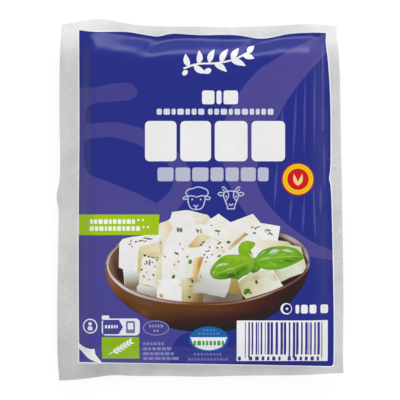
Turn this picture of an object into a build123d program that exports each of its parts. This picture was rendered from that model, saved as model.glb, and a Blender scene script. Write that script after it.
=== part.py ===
from build123d import *
import math
import os

# A flat vacuum pouch that holds one slab of feta: two films, welded together round the edge and drawn
# down tight over the slab. It lies on its back, printed side up, with its top edge towards +Y.
# The origin is under the middle of the pouch, on the surface it lies on. Sizes are in millimetres.

# The slab inside, which sets the shape of the middle
slab_width = 92.0
slab_length = 120.0
slab_thickness = 12.4
slab_edge_round = 2.6
crown = 0.35  # how far the front of the slab bulges

# Run of the film from each side of the slab to the weld
slope_left = 4.2
slope_right = 5.0
slope_top = 6.3
slope_bottom = 4.9

# Width of the flat weld along each edge. The left one is wider, because the print sits to the right.
weld_left = 8.0
weld_right = 4.8
weld_top = 4.2
weld_bottom = 5.2
weld_thickness = 0.5

# The pouch narrows towards its top, and its top edge runs up a little towards the corners.
taper_left = 0.5
taper_right = 1.2
top_bow = 0.8

# Swells of each edge, as (place along the edge from -1 to 1, half width on that scale, rise)
top_swells = [(-1.0, 0.08, -0.5), (-0.72, 0.21, 2.7), (0.20, 0.14, -0.4), (0.75, 0.17, 0.7),
              (1.0, 0.07, -0.6)]
bottom_swells = [(-1.02, 0.28, 1.9), (-0.62, 0.10, -0.5), (0.0, 0.15, 0.3), (0.72, 0.18, 0.4),
                 (1.0, 0.45, -1.2)]
left_swells = [(-1.0, 0.10, -0.6), (-0.60, 0.25, 0.3), (0.04, 0.06, 1.1), (0.22, 0.22, -0.5),
               (1.0, 0.12, -0.7)]
right_swells = [(-0.90, 0.25, -0.7), (1.0, 0.16, -1.0)]

# The free rim of the weld hangs along each edge, more sharply the higher the droop power, and it waves
# up and down. Two opposite corners lift and the other two drop.
droop_left = 1.0
droop_right = 0.5
droop_top = 0.8
droop_bottom = 1.2
droop_power = 12
wave_height = 0.7
wave_length_x = 46.0
wave_length_y = 54.0
wave_start_x = 0.6  # radians
wave_start_y = -0.4
corner_lift = 1.4
corner_drop = 0.8

# Tucks where the film is gathered between the weld and the slab, each at a place along an edge from
# -1 to 1, with how far it leans, in half widths, and its depth
tuck_half_width = 5.0
tuck_in_back = 0.5  # how deep a tuck is in the back film, as a share of its depth in the front
top_tucks = [(-0.36, -1.1, 1.0), (0.56, -1.4, 1.0)]
bottom_tucks = [(-0.30, 0.5, 0.6), (0.48, -0.4, 0.5)]
left_tucks = [(0.55, 0.4, 0.4), (-0.70, -0.5, 0.5)]
right_tucks = [(0.15, -0.3, 0.9), (-0.78, 0.6, 0.7), (0.66, 0.4, 0.4)]

# Facets across each weld and each slope, and the longest side of a facet over the slab
weld_facets = 2
slope_facets = 5
facet_side = 4.0


def swell(place, swells):
    """Rise of an edge at a place along it."""
    return sum(rise * math.exp(-(((place - middle) / half) ** 2)) for middle, half, rise in swells)


def ramp(share):
    """A smooth climb from 0 to 1."""
    return share * share * (3.0 - 2.0 * share)


def blend(start, end, share):
    return start + (end - start) * share


def stations(flat_half):
    """Steps across the pouch, each as its zone and its share of the way through that zone."""
    over_slab = math.ceil(2 * flat_half / facet_side)
    steps = [("low weld", step / weld_facets) for step in range(weld_facets)]
    steps += [("low slope", step / slope_facets) for step in range(slope_facets)]
    steps += [("slab", step / over_slab) for step in range(over_slab + 1)]
    steps += [("high slope", step / slope_facets) for step in range(1, slope_facets + 1)]
    steps += [("high weld", step / weld_facets) for step in range(1, weld_facets + 1)]
    return steps


def reach(station, edges, welds, flat_half):
    """Where a station lies, between the low and the high edge, and the climb from each weld there."""
    zone, share = station
    low, high = edges
    low_seam, high_seam = low + welds[0], high - welds[1]
    if zone == "low weld":
        return blend(low, low_seam, share), 0.0, 1.0
    if zone == "low slope":
        return blend(low_seam, -flat_half, share), ramp(share), 1.0
    if zone == "slab":
        return blend(-flat_half, flat_half, share), 1.0, 1.0
    if zone == "high slope":
        return blend(flat_half, high_seam, share), 1.0, ramp(1.0 - share)
    return blend(high_seam, high, share), 1.0, 0.0


def tuck_depth(along, half_length, climb, tucks):
    """Depth of the tucks of one edge, deepest halfway up from the weld to the slab."""
    depth = 0.0
    for place, lean, deep in tucks:
        off = (along - place * half_length) / tuck_half_width - lean * climb
        depth += deep * math.exp(-(off**2)) * 4.0 * climb * (1.0 - climb)
    return depth


flat_x = slab_width / 2 - slab_edge_round
flat_y = slab_length / 2 - slab_edge_round
half_width = (slab_width + slope_left + slope_right + weld_left + weld_right) / 2
half_length = (slab_length + slope_top + slope_bottom + weld_top + weld_bottom) / 2
middle_x = (slope_right + weld_right - slope_left - weld_left) / 2
middle_y = (slope_top + weld_top - slope_bottom - weld_bottom) / 2


def side_edges(along):
    """The left and right edges, at a place along them from -1, the bottom, to 1, the top."""
    left = middle_x - half_width + taper_left * along - swell(along, left_swells)
    right = middle_x + half_width - taper_right * along + swell(along, right_swells)
    return left, right


def end_edges(across):
    """The bottom and top edges, at a place along them from -1, the left, to 1, the right."""
    bottom = middle_y - half_length - swell(across, bottom_swells)
    top = middle_y + half_length + top_bow * across**4 + swell(across, top_swells)
    return bottom, top


def film_point(column, row):
    """The place in plan and the two heights, back and front, where a column and a row of facets meet."""
    side_welds, end_welds = (weld_left, weld_right), (weld_bottom, weld_top)
    plain_x = reach(column, (middle_x - half_width, middle_x + half_width), side_welds, flat_x)[0]
    plain_y = reach(row, (middle_y - half_length, middle_y + half_length), end_welds, flat_y)[0]
    across = (plain_x - middle_x) / half_width
    along = (plain_y - middle_y) / half_length
    x, from_left, from_right = reach(column, side_edges(along), side_welds, flat_x)
    y, from_bottom, from_top = reach(row, end_edges(across), end_welds, flat_y)
    climb = from_left * from_right * from_bottom * from_top

    # The seam lies halfway up the slab, and its free rim hangs and waves.
    rim = 1.0 - climb
    wave = wave_height * math.sin(2 * math.pi * x / wave_length_x + wave_start_x)
    wave *= math.cos(2 * math.pi * y / wave_length_y + wave_start_y)
    wave -= (droop_left if across < 0 else droop_right) * across**droop_power
    wave -= (droop_bottom if along < 0 else droop_top) * along**droop_power
    wave += (across * along) ** 4 * (corner_lift if across * along < 0 else -corner_drop)
    seam = slab_thickness / 2 + wave * rim

    bulge = crown * (1.0 - across**2) * (1.0 - along**2)
    gather = tuck_depth(x, slab_width / 2, from_top, top_tucks) * from_left * from_right
    gather += tuck_depth(x, slab_width / 2, from_bottom, bottom_tucks) * from_left * from_right
    gather += tuck_depth(y, slab_length / 2, from_left, left_tucks) * from_top * from_bottom
    gather += tuck_depth(y, slab_length / 2, from_right, right_tucks) * from_top * from_bottom

    front = seam + weld_thickness / 2 * rim + (slab_thickness - seam + bulge) * climb - gather
    back = (seam - weld_thickness / 2) * rim + gather * tuck_in_back
    return x, y, back, front


def polygon(points):
    return Face(Wire.make_polygon(points, close=True))


def film_facets(grid, over_slab):
    """Two triangles for each cell of a film, leaving out the cells that over_slab gives."""
    facets = []
    for row in range(len(grid) - 1):
        for column in range(len(grid[0]) - 1):
            if over_slab and column in over_slab[0] and row in over_slab[1]:
                continue
            a, b = grid[row][column], grid[row][column + 1]
            c, d = grid[row + 1][column + 1], grid[row + 1][column]
            facets += [polygon([a, b, c]), polygon([a, c, d])]
    return facets


def ring(grid, low_column, high_column, low_row, high_row):
    """The points round a block of a grid, once round from its low corner."""
    points = [grid[low_row][column] for column in range(low_column, high_column)]
    points += [grid[row][high_column] for row in range(low_row, high_row)]
    points += [grid[high_row][column] for column in range(high_column, low_column, -1)]
    points += [grid[row][low_column] for row in range(high_row, low_row, -1)]
    return points


def make_pouch():
    columns, rows = stations(flat_x), stations(flat_y)
    places = [[film_point(column, row) for column in columns] for row in rows]
    back = [[(x, y, low) for x, y, low, high in line] for line in places]
    front = [[(x, y, high) for x, y, low, high in line] for line in places]

    # The back is one flat face under the slab, where the pouch lies.
    rim_facets = weld_facets + slope_facets
    last_column, last_row = len(columns) - 1, len(rows) - 1
    flat_block = rim_facets, last_column - rim_facets, rim_facets, last_row - rim_facets
    over_slab = range(flat_block[0], flat_block[1]), range(flat_block[2], flat_block[3])
    facets = film_facets(front, None) + film_facets(back, over_slab)
    facets.append(polygon(ring(back, *flat_block)))

    # The cut edge of the weld, all the way round
    low = ring(back, 0, last_column, 0, last_row)
    high = ring(front, 0, last_column, 0, last_row)
    for step in range(len(low)):
        after = (step + 1) % len(low)
        facets.append(polygon([low[step], low[after], high[after], high[step]]))
    pouch = Solid(Shell(facets))

    # The welds differ from edge to edge, so the pouch is moved until its middle is over the origin.
    middle = pouch.bounding_box().center()
    return Pos(-middle.X, -middle.Y, 0) * pouch


pouch = make_pouch()
os.makedirs("parts", exist_ok=True)
export_step(pouch, "parts/feta_pouch.step")
print("volume cm3", round(pouch.volume / 1000, 1), "valid", pouch.is_valid, pouch.bounding_box().size)
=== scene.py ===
import math

import bpy
import numpy as np
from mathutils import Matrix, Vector, geometry, kdtree


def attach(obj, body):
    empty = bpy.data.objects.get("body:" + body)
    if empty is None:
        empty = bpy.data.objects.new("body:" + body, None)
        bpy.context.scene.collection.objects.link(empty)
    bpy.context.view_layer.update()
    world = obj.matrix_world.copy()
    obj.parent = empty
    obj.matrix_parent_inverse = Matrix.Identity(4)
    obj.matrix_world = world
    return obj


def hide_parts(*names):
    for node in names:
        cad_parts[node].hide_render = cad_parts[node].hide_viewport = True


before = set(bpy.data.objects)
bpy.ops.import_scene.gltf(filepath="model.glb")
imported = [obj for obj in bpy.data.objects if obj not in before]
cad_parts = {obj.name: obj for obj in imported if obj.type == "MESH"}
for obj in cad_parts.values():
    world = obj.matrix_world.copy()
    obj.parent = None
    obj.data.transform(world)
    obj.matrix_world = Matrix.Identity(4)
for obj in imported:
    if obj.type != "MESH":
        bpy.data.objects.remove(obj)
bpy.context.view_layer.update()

mm = 0.001  # lengths below are in millimetres, and meshes are in metres
rng = np.random.default_rng(7)

# The pouch lies on its back with its print up and its top edge towards +Y. Sides come in the order left,
# right, bottom, top, and places along an edge run from -1 to 1. The sizes are the CAD model's.
pouch = {
    "slab": (92.0, 120.0, 12.4),
    "slabEdgeRound": 2.6,
    "crown": 0.35,
    "softEdge": 3.0,  # how much further in the film starts to bend down over the slab's edge
    "shoulder": 1.7,  # the higher, the rounder the bend at the slab and the steeper the foot of the slope
    "slopes": (4.2, 5.0, 4.9, 6.3),
    "welds": (8.0, 4.8, 5.2, 4.2),
    "weldThickness": 0.36,
    "tapers": (0.5, 1.2),
    "topBow": 0.8,
    "swells": {
        "left": [(-1.0, 0.10, -0.6), (-0.60, 0.25, 0.3), (0.04, 0.06, 1.1), (0.22, 0.22, -0.5),
                 (1.0, 0.12, -0.7)],
        "right": [(-0.90, 0.25, -0.7), (1.0, 0.16, -1.0)],
        "bottom": [(-1.02, 0.28, 1.9), (-0.62, 0.10, -0.5), (0.0, 0.15, 0.3), (0.72, 0.18, 0.4),
                   (1.0, 0.45, -1.2)],
        "top": [(-1.0, 0.08, -0.5), (-0.72, 0.21, 2.7), (0.20, 0.14, -0.4), (0.75, 0.17, 0.7),
                (1.0, 0.07, -0.6)],
    },
    "droops": (1.0, 0.5, 1.2, 0.8),
    "droopPower": 12,
    "wave": (0.7, 46.0, 54.0),
    "waveStart": (0.6, -0.4),
    "cornerLift": 1.4,
    "cornerDrop": 0.8,
    "tuckHalfWidth": 5.0,
    "tucks": {
        "left": [(0.55, 0.4, 0.4), (-0.70, -0.5, 0.5)],
        "right": [(0.15, -0.3, 0.9), (-0.78, 0.6, 0.7), (0.66, 0.4, 0.4)],
        "bottom": [(-0.30, 0.5, 0.6), (0.48, -0.4, 0.5)],
        "top": [(-0.36, -1.1, 1.0), (0.56, -1.4, 1.0)],
    },
}


def swell(place, side):
    swells = pouch["swells"][side]
    return sum(rise * np.exp(-(((place - middle) / half) ** 2)) for middle, half, rise in swells)


def ramp(share):
    share = np.clip(share, 0.0, 1.0)
    return share * share * (3.0 - 2.0 * share)


def pouchEdges(across, along):
    slabWidth, slabLength, slabThickness = pouch["slab"]
    reach = [slope + weld for slope, weld in zip(pouch["slopes"], pouch["welds"])]
    left = -slabWidth / 2 - reach[0] + pouch["tapers"][0] * along - swell(along, "left")
    right = slabWidth / 2 + reach[1] - pouch["tapers"][1] * along + swell(along, "right")
    bottom = -slabLength / 2 - reach[2] - swell(across, "bottom")
    top = slabLength / 2 + reach[3] + pouch["topBow"] * across**4 + swell(across, "top")
    return left, right, bottom, top


def pouchPoint(across, along):
    left, right, bottom, top = pouchEdges(across, along)
    return left + (right - left) * (across + 1) / 2, bottom + (top - bottom) * (along + 1) / 2


outlineSteps = {"across": 161, "along": 200}
halfReach = {"across": 58.0, "along": 72.0}  # half the pouch in millimetres, roughly


def pouchOutline():
    # the cut edge of the pouch, anticlockwise from its bottom left corner, about the slab's middle
    across = np.linspace(-1, 1, outlineSteps["across"], endpoint=False)
    along = np.linspace(-1, 1, outlineSteps["along"], endpoint=False)
    full, rise = np.ones_like(across), np.ones_like(along)
    runs = [(across, -full), (rise, along), (-across, full), (-rise, -along)]
    return np.vstack([np.column_stack(pouchPoint(x, y)) for x, y in runs])


# The pouch is centred on the origin, and the slab is a little off it.
outline = pouchOutline()
slabMiddle = (outline.min(axis=0) + outline.max(axis=0)) / 2
outline = outline - slabMiddle


def tuckDepth(along, halfLength, climb, side):
    depth = 0.0
    for place, lean, deep in pouch["tucks"][side]:
        off = (along - place * halfLength) / pouch["tuckHalfWidth"] - lean * climb
        depth = depth + deep * np.exp(-(off**2)) * 4.0 * climb * (1.0 - climb)
    return depth


# Fine creases of the thin film, seeded, so that they are the same each time
creases = {
    "counts": (16, 18, 18, 22),
    "width": (0.9, 2.6),
    "height": (0.03, 0.16),
    "lean": 4.0,
    "middle": (0.15, 0.95),
    "spread": 0.38,
    "ripple": 0.07,
    "lump": 0.02 / 3,
}
creaseSets = []
for count, run in zip(creases["counts"], ("along", "along", "across", "across")):
    halfLength = halfReach[run]
    creaseSets.append({
        "place": rng.uniform(-halfLength, halfLength, count),
        "width": rng.uniform(*creases["width"], count),
        "height": rng.uniform(*creases["height"], count) * rng.choice((-1, 1), count),
        "lean": rng.normal(0, creases["lean"], count),
        "middle": rng.uniform(*creases["middle"], count),
    })

# Longer folds, which run down from the top weld: two ends, half width and depth
folds = [((-23.0, 58.8), (-11.5, 67.5), 2.6, 1.1), ((14.5, 59.0), (32, 67.0), 2.6, 0.9),
         ((-40, 59.5), (-46, 64), 2.6, 0.35)]

# Low waves, in radians to the millimetre: lumps over the slab, and ripples in the weld
lumpWaves = [(rng.uniform(0.2, 1.1), rng.uniform(0, math.pi), rng.uniform(0, 2 * math.pi))
             for wave in range(14)]
rippleWaves = [(rng.uniform(0.12, 0.5), rng.uniform(0, 2 * math.pi), rng.uniform(-0.2, 0.2))
               for wave in range(8)]


def creaseHeight(along, share, creaseSet):
    # share is 0 at the weld's inner edge and 1 at the slab's flat face
    height = 0.0
    for place, width, rise, lean, middle in zip(*creaseSet.values()):
        off = (along - place - lean * (share - 0.5)) / width
        height = height + rise * np.exp(-(off**2) - ((share - middle) / creases["spread"]) ** 2)
    return height


def foldDepth(x, y):
    depth = 0.0
    for (startX, startY), (endX, endY), width, deep in folds:
        runX, runY = endX - startX, endY - startY
        share = ((x - startX) * runX + (y - startY) * runY) / (runX**2 + runY**2)
        near = np.clip(share, 0, 1)
        off = np.hypot(x - startX - near * runX, y - startY - near * runY)
        depth = depth + deep * np.exp(-((off / width) ** 2)) * np.clip(near + 0.25, 0, 1)
    return depth


def filmHeights(points):
    # heights of the front and back film over points in plan, and how far each has climbed from the weld
    x, y = points[:, 0] + slabMiddle[0], points[:, 1] + slabMiddle[1]
    slabWidth, slabLength, slabThickness = pouch["slab"]
    across, along = x / halfReach["across"], y / halfReach["along"]
    for settle in range(4):
        left, right, bottom, top = pouchEdges(across, along)
        across = 2 * (x - left) / (right - left) - 1
        along = 2 * (y - bottom) / (top - bottom) - 1
    flatX = slabWidth / 2 - pouch["slabEdgeRound"] - pouch["softEdge"]
    flatY = slabLength / 2 - pouch["slabEdgeRound"] - pouch["softEdge"]
    weldLeft, weldRight, weldBottom, weldTop = pouch["welds"]
    shares = [
        (x - left - weldLeft) / (-flatX - left - weldLeft),
        (right - weldRight - x) / (right - weldRight - flatX),
        (y - bottom - weldBottom) / (-flatY - bottom - weldBottom),
        (top - weldTop - y) / (top - weldTop - flatY),
    ]
    shares = [np.clip(share, 0.0, 1.0) for share in shares]
    climbs = [ramp(1.0 - (1.0 - share) ** pouch["shoulder"]) for share in shares]
    fromLeft, fromRight, fromBottom, fromTop = climbs
    climb = fromLeft * fromRight * fromBottom * fromTop
    rim = 1.0 - climb

    waveHeight, waveX, waveY = pouch["wave"]
    startX, startY = pouch["waveStart"]
    wave = waveHeight * np.sin(2 * math.pi * x / waveX + startX) * np.cos(2 * math.pi * y / waveY + startY)
    droopLeft, droopRight, droopBottom, droopTop = pouch["droops"]
    wave -= np.where(across < 0, droopLeft, droopRight) * across ** pouch["droopPower"]
    wave -= np.where(along < 0, droopBottom, droopTop) * along ** pouch["droopPower"]
    wave += (across * along) ** 4 * np.where(across * along < 0, pouch["cornerLift"], -pouch["cornerDrop"])
    seam = slabThickness / 2 + wave * rim

    bulge = pouch["crown"] * (1.0 - across**2) * (1.0 - along**2)
    overEnds, overSides = fromLeft * fromRight, fromBottom * fromTop
    gather = tuckDepth(x, slabWidth / 2, fromTop, "top") * overEnds
    gather += tuckDepth(x, slabWidth / 2, fromBottom, "bottom") * overEnds
    gather += tuckDepth(y, slabLength / 2, fromLeft, "left") * overSides
    gather += tuckDepth(y, slabLength / 2, fromRight, "right") * overSides

    fine = 0.0
    for share, run, creaseSet in zip(shares, (y, y, x, x), creaseSets):
        fine = fine + creaseHeight(run, share, creaseSet)
    onSides = np.clip(np.abs(across) ** 6 - np.abs(along) ** 6 + 0.5, 0, 1)
    ripple = lump = 0.0
    for pitch, start, slant in rippleWaves:
        ripple = ripple + np.sin(pitch * y + start + slant * x) * onSides
        ripple = ripple + np.sin(pitch * x + start + slant * y) * (1 - onSides)
    for pitch, turn, start in lumpWaves:
        lump = lump + np.sin(pitch * (x * math.cos(turn) + y * math.sin(turn)) + start)
    ripple = creases["ripple"] * ripple * rim
    lump = creases["lump"] * lump * climb

    halfWeld = pouch["weldThickness"] / 2
    front = seam + halfWeld * rim + (slabThickness - seam + bulge) * climb - gather + fine + ripple + lump
    front = front - foldDepth(points[:, 0], points[:, 1]) * climb
    back = (seam - halfWeld) * rim + gather / 2 + fine * 0.5 * rim + ripple
    return front, np.maximum(back, 0.0), climb


# Colours and outlines of the print

def srgb(code):
    return np.array([int(code[place:place + 2], 16) / 255 for place in (1, 3, 5)])


def linear(colour):
    colour = np.asarray(colour, float)
    return np.where(colour <= 0.04045, colour / 12.92, ((colour + 0.055) / 1.055) ** 2.4)


def smoothRun(points, step):
    # a smooth line through the points, which stops short of the last one
    points = np.array(points, float)
    padded = np.vstack([2 * points[0] - points[1], points, 2 * points[-1] - points[-2]])
    line = []
    for a, b, c, d in zip(padded, padded[1:], padded[2:], padded[3:]):
        count = max(1, math.ceil(math.hypot(*(c - b)) / step))
        t = np.arange(count)[:, None] / count
        bend, swing = 2 * a - 5 * b + 4 * c - d, 3 * b - a - 3 * c + d
        line.append(0.5 * (2 * b + (c - a) * t + bend * t**2 + swing * t**3))
    return np.vstack(line)


def cornered(*runs, step=0.8):
    # a closed loop of runs, smooth within a run, with a corner where each run starts
    ends = runs[1:] + runs[:1]
    return np.vstack([smoothRun(list(run) + [after[0]], step) for run, after in zip(runs, ends)])


def rounded(points, step=0.8):
    # a closed loop that is smooth all the way round
    wrapped = [points[-1]] + list(points) + points[:2]
    whole = smoothRun(wrapped, step)
    lengths = [max(1, math.ceil(math.dist(a, b) / step)) for a, b in zip(wrapped, wrapped[1:])]
    return whole[lengths[0]:len(whole) - lengths[-1]]


def ellipse(x, y, radiusX, radiusY, turn=0.0, step=0.8, least=8):
    count = max(least, math.ceil(2 * math.pi * max(radiusX, radiusY) / step))
    t = np.arange(count) * 2 * math.pi / count
    u, v = radiusX * np.cos(t), radiusY * np.sin(t)
    cosine, sine = math.cos(turn), math.sin(turn)
    return np.column_stack([x + u * cosine - v * sine, y + u * sine + v * cosine])


def block(left, bottom, right, top, radius=0.0, step=0.8):
    radius = min(radius, (right - left) / 2, (top - bottom) / 2)
    if radius <= 0.05:
        return cornered([(left, bottom)], [(right, bottom)], [(right, top)], [(left, top)], step=step)
    turns = np.linspace(0, math.pi / 2, 2 + round(radius / 0.5))
    corners = [(right - radius, top - radius, 0), (left + radius, top - radius, 1),
               (left + radius, bottom + radius, 2), (right - radius, bottom + radius, 3)]
    loop = []
    for x, y, quarter in corners:
        angles = turns + quarter * math.pi / 2
        loop += list(zip(x + radius * np.cos(angles), y + radius * np.sin(angles)))
    return subdivided(np.array(loop), step)


def subdivided(loop, step):
    line = []
    for a, b in zip(loop, np.roll(loop, -1, axis=0)):
        count = max(1, math.ceil(math.hypot(*(b - a)) / step))
        line.append(a + (b - a) * np.arange(count)[:, None] / count)
    return np.vstack(line)


def stroke(points, width, taper=False, step=0.8):
    # a line of some width along a smooth run, pointed at its ends when it tapers
    line = np.vstack([smoothRun(points, step), np.array(points[-1:], float)])
    across = np.gradient(line, axis=0)
    across = np.column_stack([-across[:, 1], across[:, 0]])
    across /= np.maximum(np.linalg.norm(across, axis=1), 1e-9)[:, None]
    share = np.linspace(0, 1, len(line))
    half = width / 2 * (np.maximum(np.sin(math.pi * share), 0.12) if taper else np.ones_like(share))
    return np.vstack([line + across * half[:, None], (line - across * half[:, None])[::-1]])


def almond(start, end, width, bend=0.0):
    # a leaf shape from its stalk end to its tip
    start, end = np.array(start, float), np.array(end, float)
    along = end - start
    side = np.array([-along[1], along[0]]) / np.linalg.norm(along)
    t = np.linspace(0, 1, max(5, math.ceil(np.linalg.norm(along) / 0.8) + 1))
    middle = start + along * t[:, None] + side * (bend * np.sin(math.pi * t))[:, None]
    half = width / 2 * np.sin(math.pi * t**0.8)
    upper, lower = middle + side * half[:, None], middle - side * half[:, None]
    return np.vstack([upper, lower[-2:0:-1]])


def shaded(stops, start, end):
    # a colour that runs through (share, hex) stops between two places
    start, run = np.array(start, float), np.subtract(end, start)
    places, colours = [stop[0] for stop in stops], np.array([srgb(stop[1]) for stop in stops])

    def at(points):
        share = np.clip((points - start) @ run / (run @ run), 0, 1)
        return np.stack([np.interp(share, places, colours[:, channel]) for channel in range(3)], axis=-1)

    return at


printLayers = []


def ink(loops, colour, grain=0.0, side="front", inPanel=True):
    # lays a colour over what is printed so far, inside each loop
    finish = {"colour": colour, "grain": grain, "side": side, "inPanel": inPanel, "share": None}
    for loop in loops if isinstance(loops, list) else [loops]:
        printLayers.append({"loop": loop, **finish})


def wash(loop, colour, middle, radii, turn=0.0, strength=1.0):
    # tints what is printed inside a loop already drawn, most at the middle and fading out over the radii
    def share(points):
        x, y = points[..., 0] - middle[0], points[..., 1] - middle[1]
        u, v = x * math.cos(turn) + y * math.sin(turn), y * math.cos(turn) - x * math.sin(turn)
        return strength * np.exp(-((u / radii[0]) ** 2) - (v / radii[1]) ** 2)

    finish = {"colour": colour, "grain": None, "side": "front", "inPanel": True, "share": share}
    printLayers.append({"loop": loop, **finish})


palette = {
    "blue": "#2C3386",
    "violet": "#504B93",
    "deepViolet": "#45448C",
    "stripe": "#4C4C94",
    "plum": "#484690",
    "keyline": "#F6F6FB",
    "white": "#F0EFF0",
    "lilac": "#BDC0D4",
    "paleViolet": "#8482BE",
    "thinLine": "#C9CBE2",
    "green": "#A3C61A",
    "label": "#E6E6F0",
    "sealRed": "#D0222A",
    "sealYellow": "#EEC81A",
}

panelLoop = cornered(
    [(-48.6, 68.3), (-42, 67.6), (-30, 67.6), (-22, 66.4), (-16.8, 65.8), (-10.6, 66.9), (0, 66.3),
     (14, 66.3), (25, 64.9), (36, 66.8), (45, 67.3)],
    [(50.7, 67.2), (50.6, 63), (51.3, 57), (52.0, 48), (52.5, 34), (52.5, 17), (52.3, 12), (51.9, 8.3),
     (52.6, 4), (53.2, -15), (53.7, -43)],
    [(53.7, -65.0), (53.2, -66.6)],
    [(51.8, -66.8), (20, -66.2), (-20, -65.6)],
    [(-48.6, -65.2), (-48.8, -20), (-48.5, 30)],
)
keylineWidth = 0.42


def offsetLoop(loop, distance):
    ahead, behind = np.roll(loop, -1, axis=0), np.roll(loop, 1, axis=0)
    run = ahead - behind
    out = np.column_stack([run[:, 1], -run[:, 0]])
    out /= np.linalg.norm(out, axis=1)[:, None]
    area = np.sum(loop[:, 0] * ahead[:, 1] - ahead[:, 0] * loop[:, 1])
    return loop + out * distance * (1 if area > 0 else -1)


ink(offsetLoop(panelLoop, keylineWidth), palette["keyline"], inPanel=False)
ink(panelLoop, palette["blue"], inPanel=False)

# Two broad violet bands that run round the panel, and fine stripes beside the right one
leftBand = cornered(
    [(-50.2, 45.0), (-42, 45.2), (-36, 46.3), (-31, 46.9), (-27, 46.2), (-25, 43.2), (-26.4, 40.7),
     (-30, 39.7), (-36, 39.3), (-41, 38.9), (-44, 38.1)],
    [(-45.7, 36.6)],
    [(-46, 30.5), (-42, 30.8), (-36, 31.1), (-31, 30.7), (-22, 28.2), (-16, 25.2), (-10, 20.3), (-6, 15.5),
     (-3.6, 10), (-3.4, 5.5), (-6.5, -0.8)],
    [(-10.5, -5.5), (-8, -30), (-1, -50)],
    [(-2, -52.5), (-7.5, -54), (-10.5, -57.5), (-12.4, -61), (-12.2, -64.4)],
    [(-10.2, -67)],
    [(-50.2, -67)],
)
leftBandInside = cornered(
    [(-46.6, 24), (-42, 24.8), (-38, 25.1), (-34, 24.9), (-26, 22.6), (-15.5, 17), (-12.2, 13), (-10.9, 7),
     (-12.5, 3)],
    [(-17.4, -1.4), (-20, 0), (-26, 3), (-38, 7.8), (-44, 10.3), (-46.3, 14.5)],
)
rightBand = cornered(
    [(51.6, 67.6), (44, 64.2), (36, 60), (30, 56.2), (24, 52.5), (18, 46), (12.5, 37.5), (9, 29), (8.3, 22),
     (10, 11), (13, 3.5), (19, -6.5)],
    [(30, -20), (43.5, -22.5)],
    [(54.6, -24.6)],
    [(54.6, -20.7), (47, -17.8), (39, -12.8), (31, -6), (24.6, 2.4), (22.6, 11), (26.5, 27), (30.5, 32),
     (36, 41.5), (43, 50.5), (48.5, 56.5)],
    [(52.2, 61)],
)
leftShades = [(0, palette["deepViolet"]), (0.5, palette["violet"]), (1, palette["plum"])]
ink(leftBand, shaded(leftShades, (-40, 48), (-30, -66)))
ink(leftBandInside, palette["blue"])
ink(rightBand, palette["violet"])
stripes = [((38.6, 44.5), (37.2, 16)), ((42.2, 50), (41.6, 18)), ((46, 54), (45.7, 20)),
           ((49.6, 24), (50.2, 4)), ((33, 36), (32.8, 28)), ((31, 16), (29.6, -3.5)),
           ((36.8, 2), (35.8, -9.5)), ((41.8, 2), (41, -13.5)), ((45.4, 6), (46.2, -16)),
           ((48.4, 6), (48.2, -6))]
ink([stroke(ends, 1.0, taper=True) for ends in stripes], palette["stripe"])


# Plain words, as rows of rounded blocks

def blockRow(bottom, top, spans, radius):
    return [block(left, bottom, right, top, radius) for left, right in spans]


def wordSpans(left, right, count, gap, seed):
    # splits a line into blocks of uneven length
    shares = np.random.default_rng(seed).uniform(0.7, 1.3, count)
    lengths = shares / shares.sum() * (right - left - gap * (count - 1))
    starts = left + np.concatenate([[0], np.cumsum(lengths[:-1] + gap)])
    return list(zip(starts, starts + lengths))


def plainWord(left, right, bottom, top, count, seed, gap=0.4, radius=0.2):
    return blockRow(bottom, top, wordSpans(left, right, count, gap, seed), radius)


sideLine = {"left": 49.0, "right": 49.6, "bottom": 28.2, "top": 62.6, "count": 34, "gap": 0.4, "seed": 17}
for bottom, top in wordSpans(*[sideLine[name] for name in ("bottom", "top", "count", "gap", "seed")]):
    ink(block(sideLine["left"], bottom, sideLine["right"], top, step=1.2), "#6664AA")
headBlocks = [(0.8, 5.8), (6.6, 8.6), (9.4, 15.2)]
nameBlocks = [(-22, -9.4), (-7.9, 4.4), (5.9, 19.0), (20.6, 34.0)]
kindBlocks = [(-17, -10.6), (-9.8, -3.9), (-3.1, 3.4), (4.2, 9.4), (10.2, 15.5), (16.3, 22.3), (23.1, 27.4)]
ink(blockRow(38.3, 43.8, headBlocks, 0.9), palette["white"])
ink(plainWord(-17.3, 1.7, 34.1, 36.5, 7, 1, gap=0.7, radius=0.5), "#D9DAE6")
ink(plainWord(3.2, 29.4, 34.1, 36.5, 10, 2, gap=0.7, radius=0.5), "#D9DAE6")
ink(blockRow(15.5, 31.6, nameBlocks, 1.8), palette["white"])
ink(blockRow(7.5, 13.0, kindBlocks, 0.9), palette["lilac"])

# An olive sprig at the head of the panel
sprig = {
    "stem": [(-6.6, 52.6), (-1, 54.4), (7, 54.8), (14, 56.4), (20.6, 59.8)],
    "leafWidth": 2.5,
    "leaves": [((-4.4, 53.3), (-5.8, 58.6), 0.4), ((-0.6, 54.4), (-0.4, 60.0), -0.4),
               ((3.6, 54.8), (5.8, 60.4), 0.4), ((8.2, 55.0), (11.2, 60.6), 0.4),
               ((-2.6, 54.0), (2.6, 50.6), -0.4), ((5.6, 54.7), (10.8, 51.2), 0.4),
               ((12.6, 56.0), (15.6, 61.0), 0.3), ((12.4, 55.8), (18.4, 53.6), 0.4),
               ((17.2, 57.7), (21.8, 56.6), 0.3), ((19.0, 58.8), (21.8, 62.0), 0.2)],
    "olives": [(3.1, 51.6, 1.5, 1.15, 0.5), (-6.0, 50.9, 1.3, 1.0, 0.7)],
}
ink(stroke(sprig["stem"], 0.75), palette["white"])
ink([almond(start, end, sprig["leafWidth"], bend) for start, end, bend in sprig["leaves"]], palette["white"])
ink([ellipse(*olive) for olive in sprig["olives"]], palette["white"])

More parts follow.
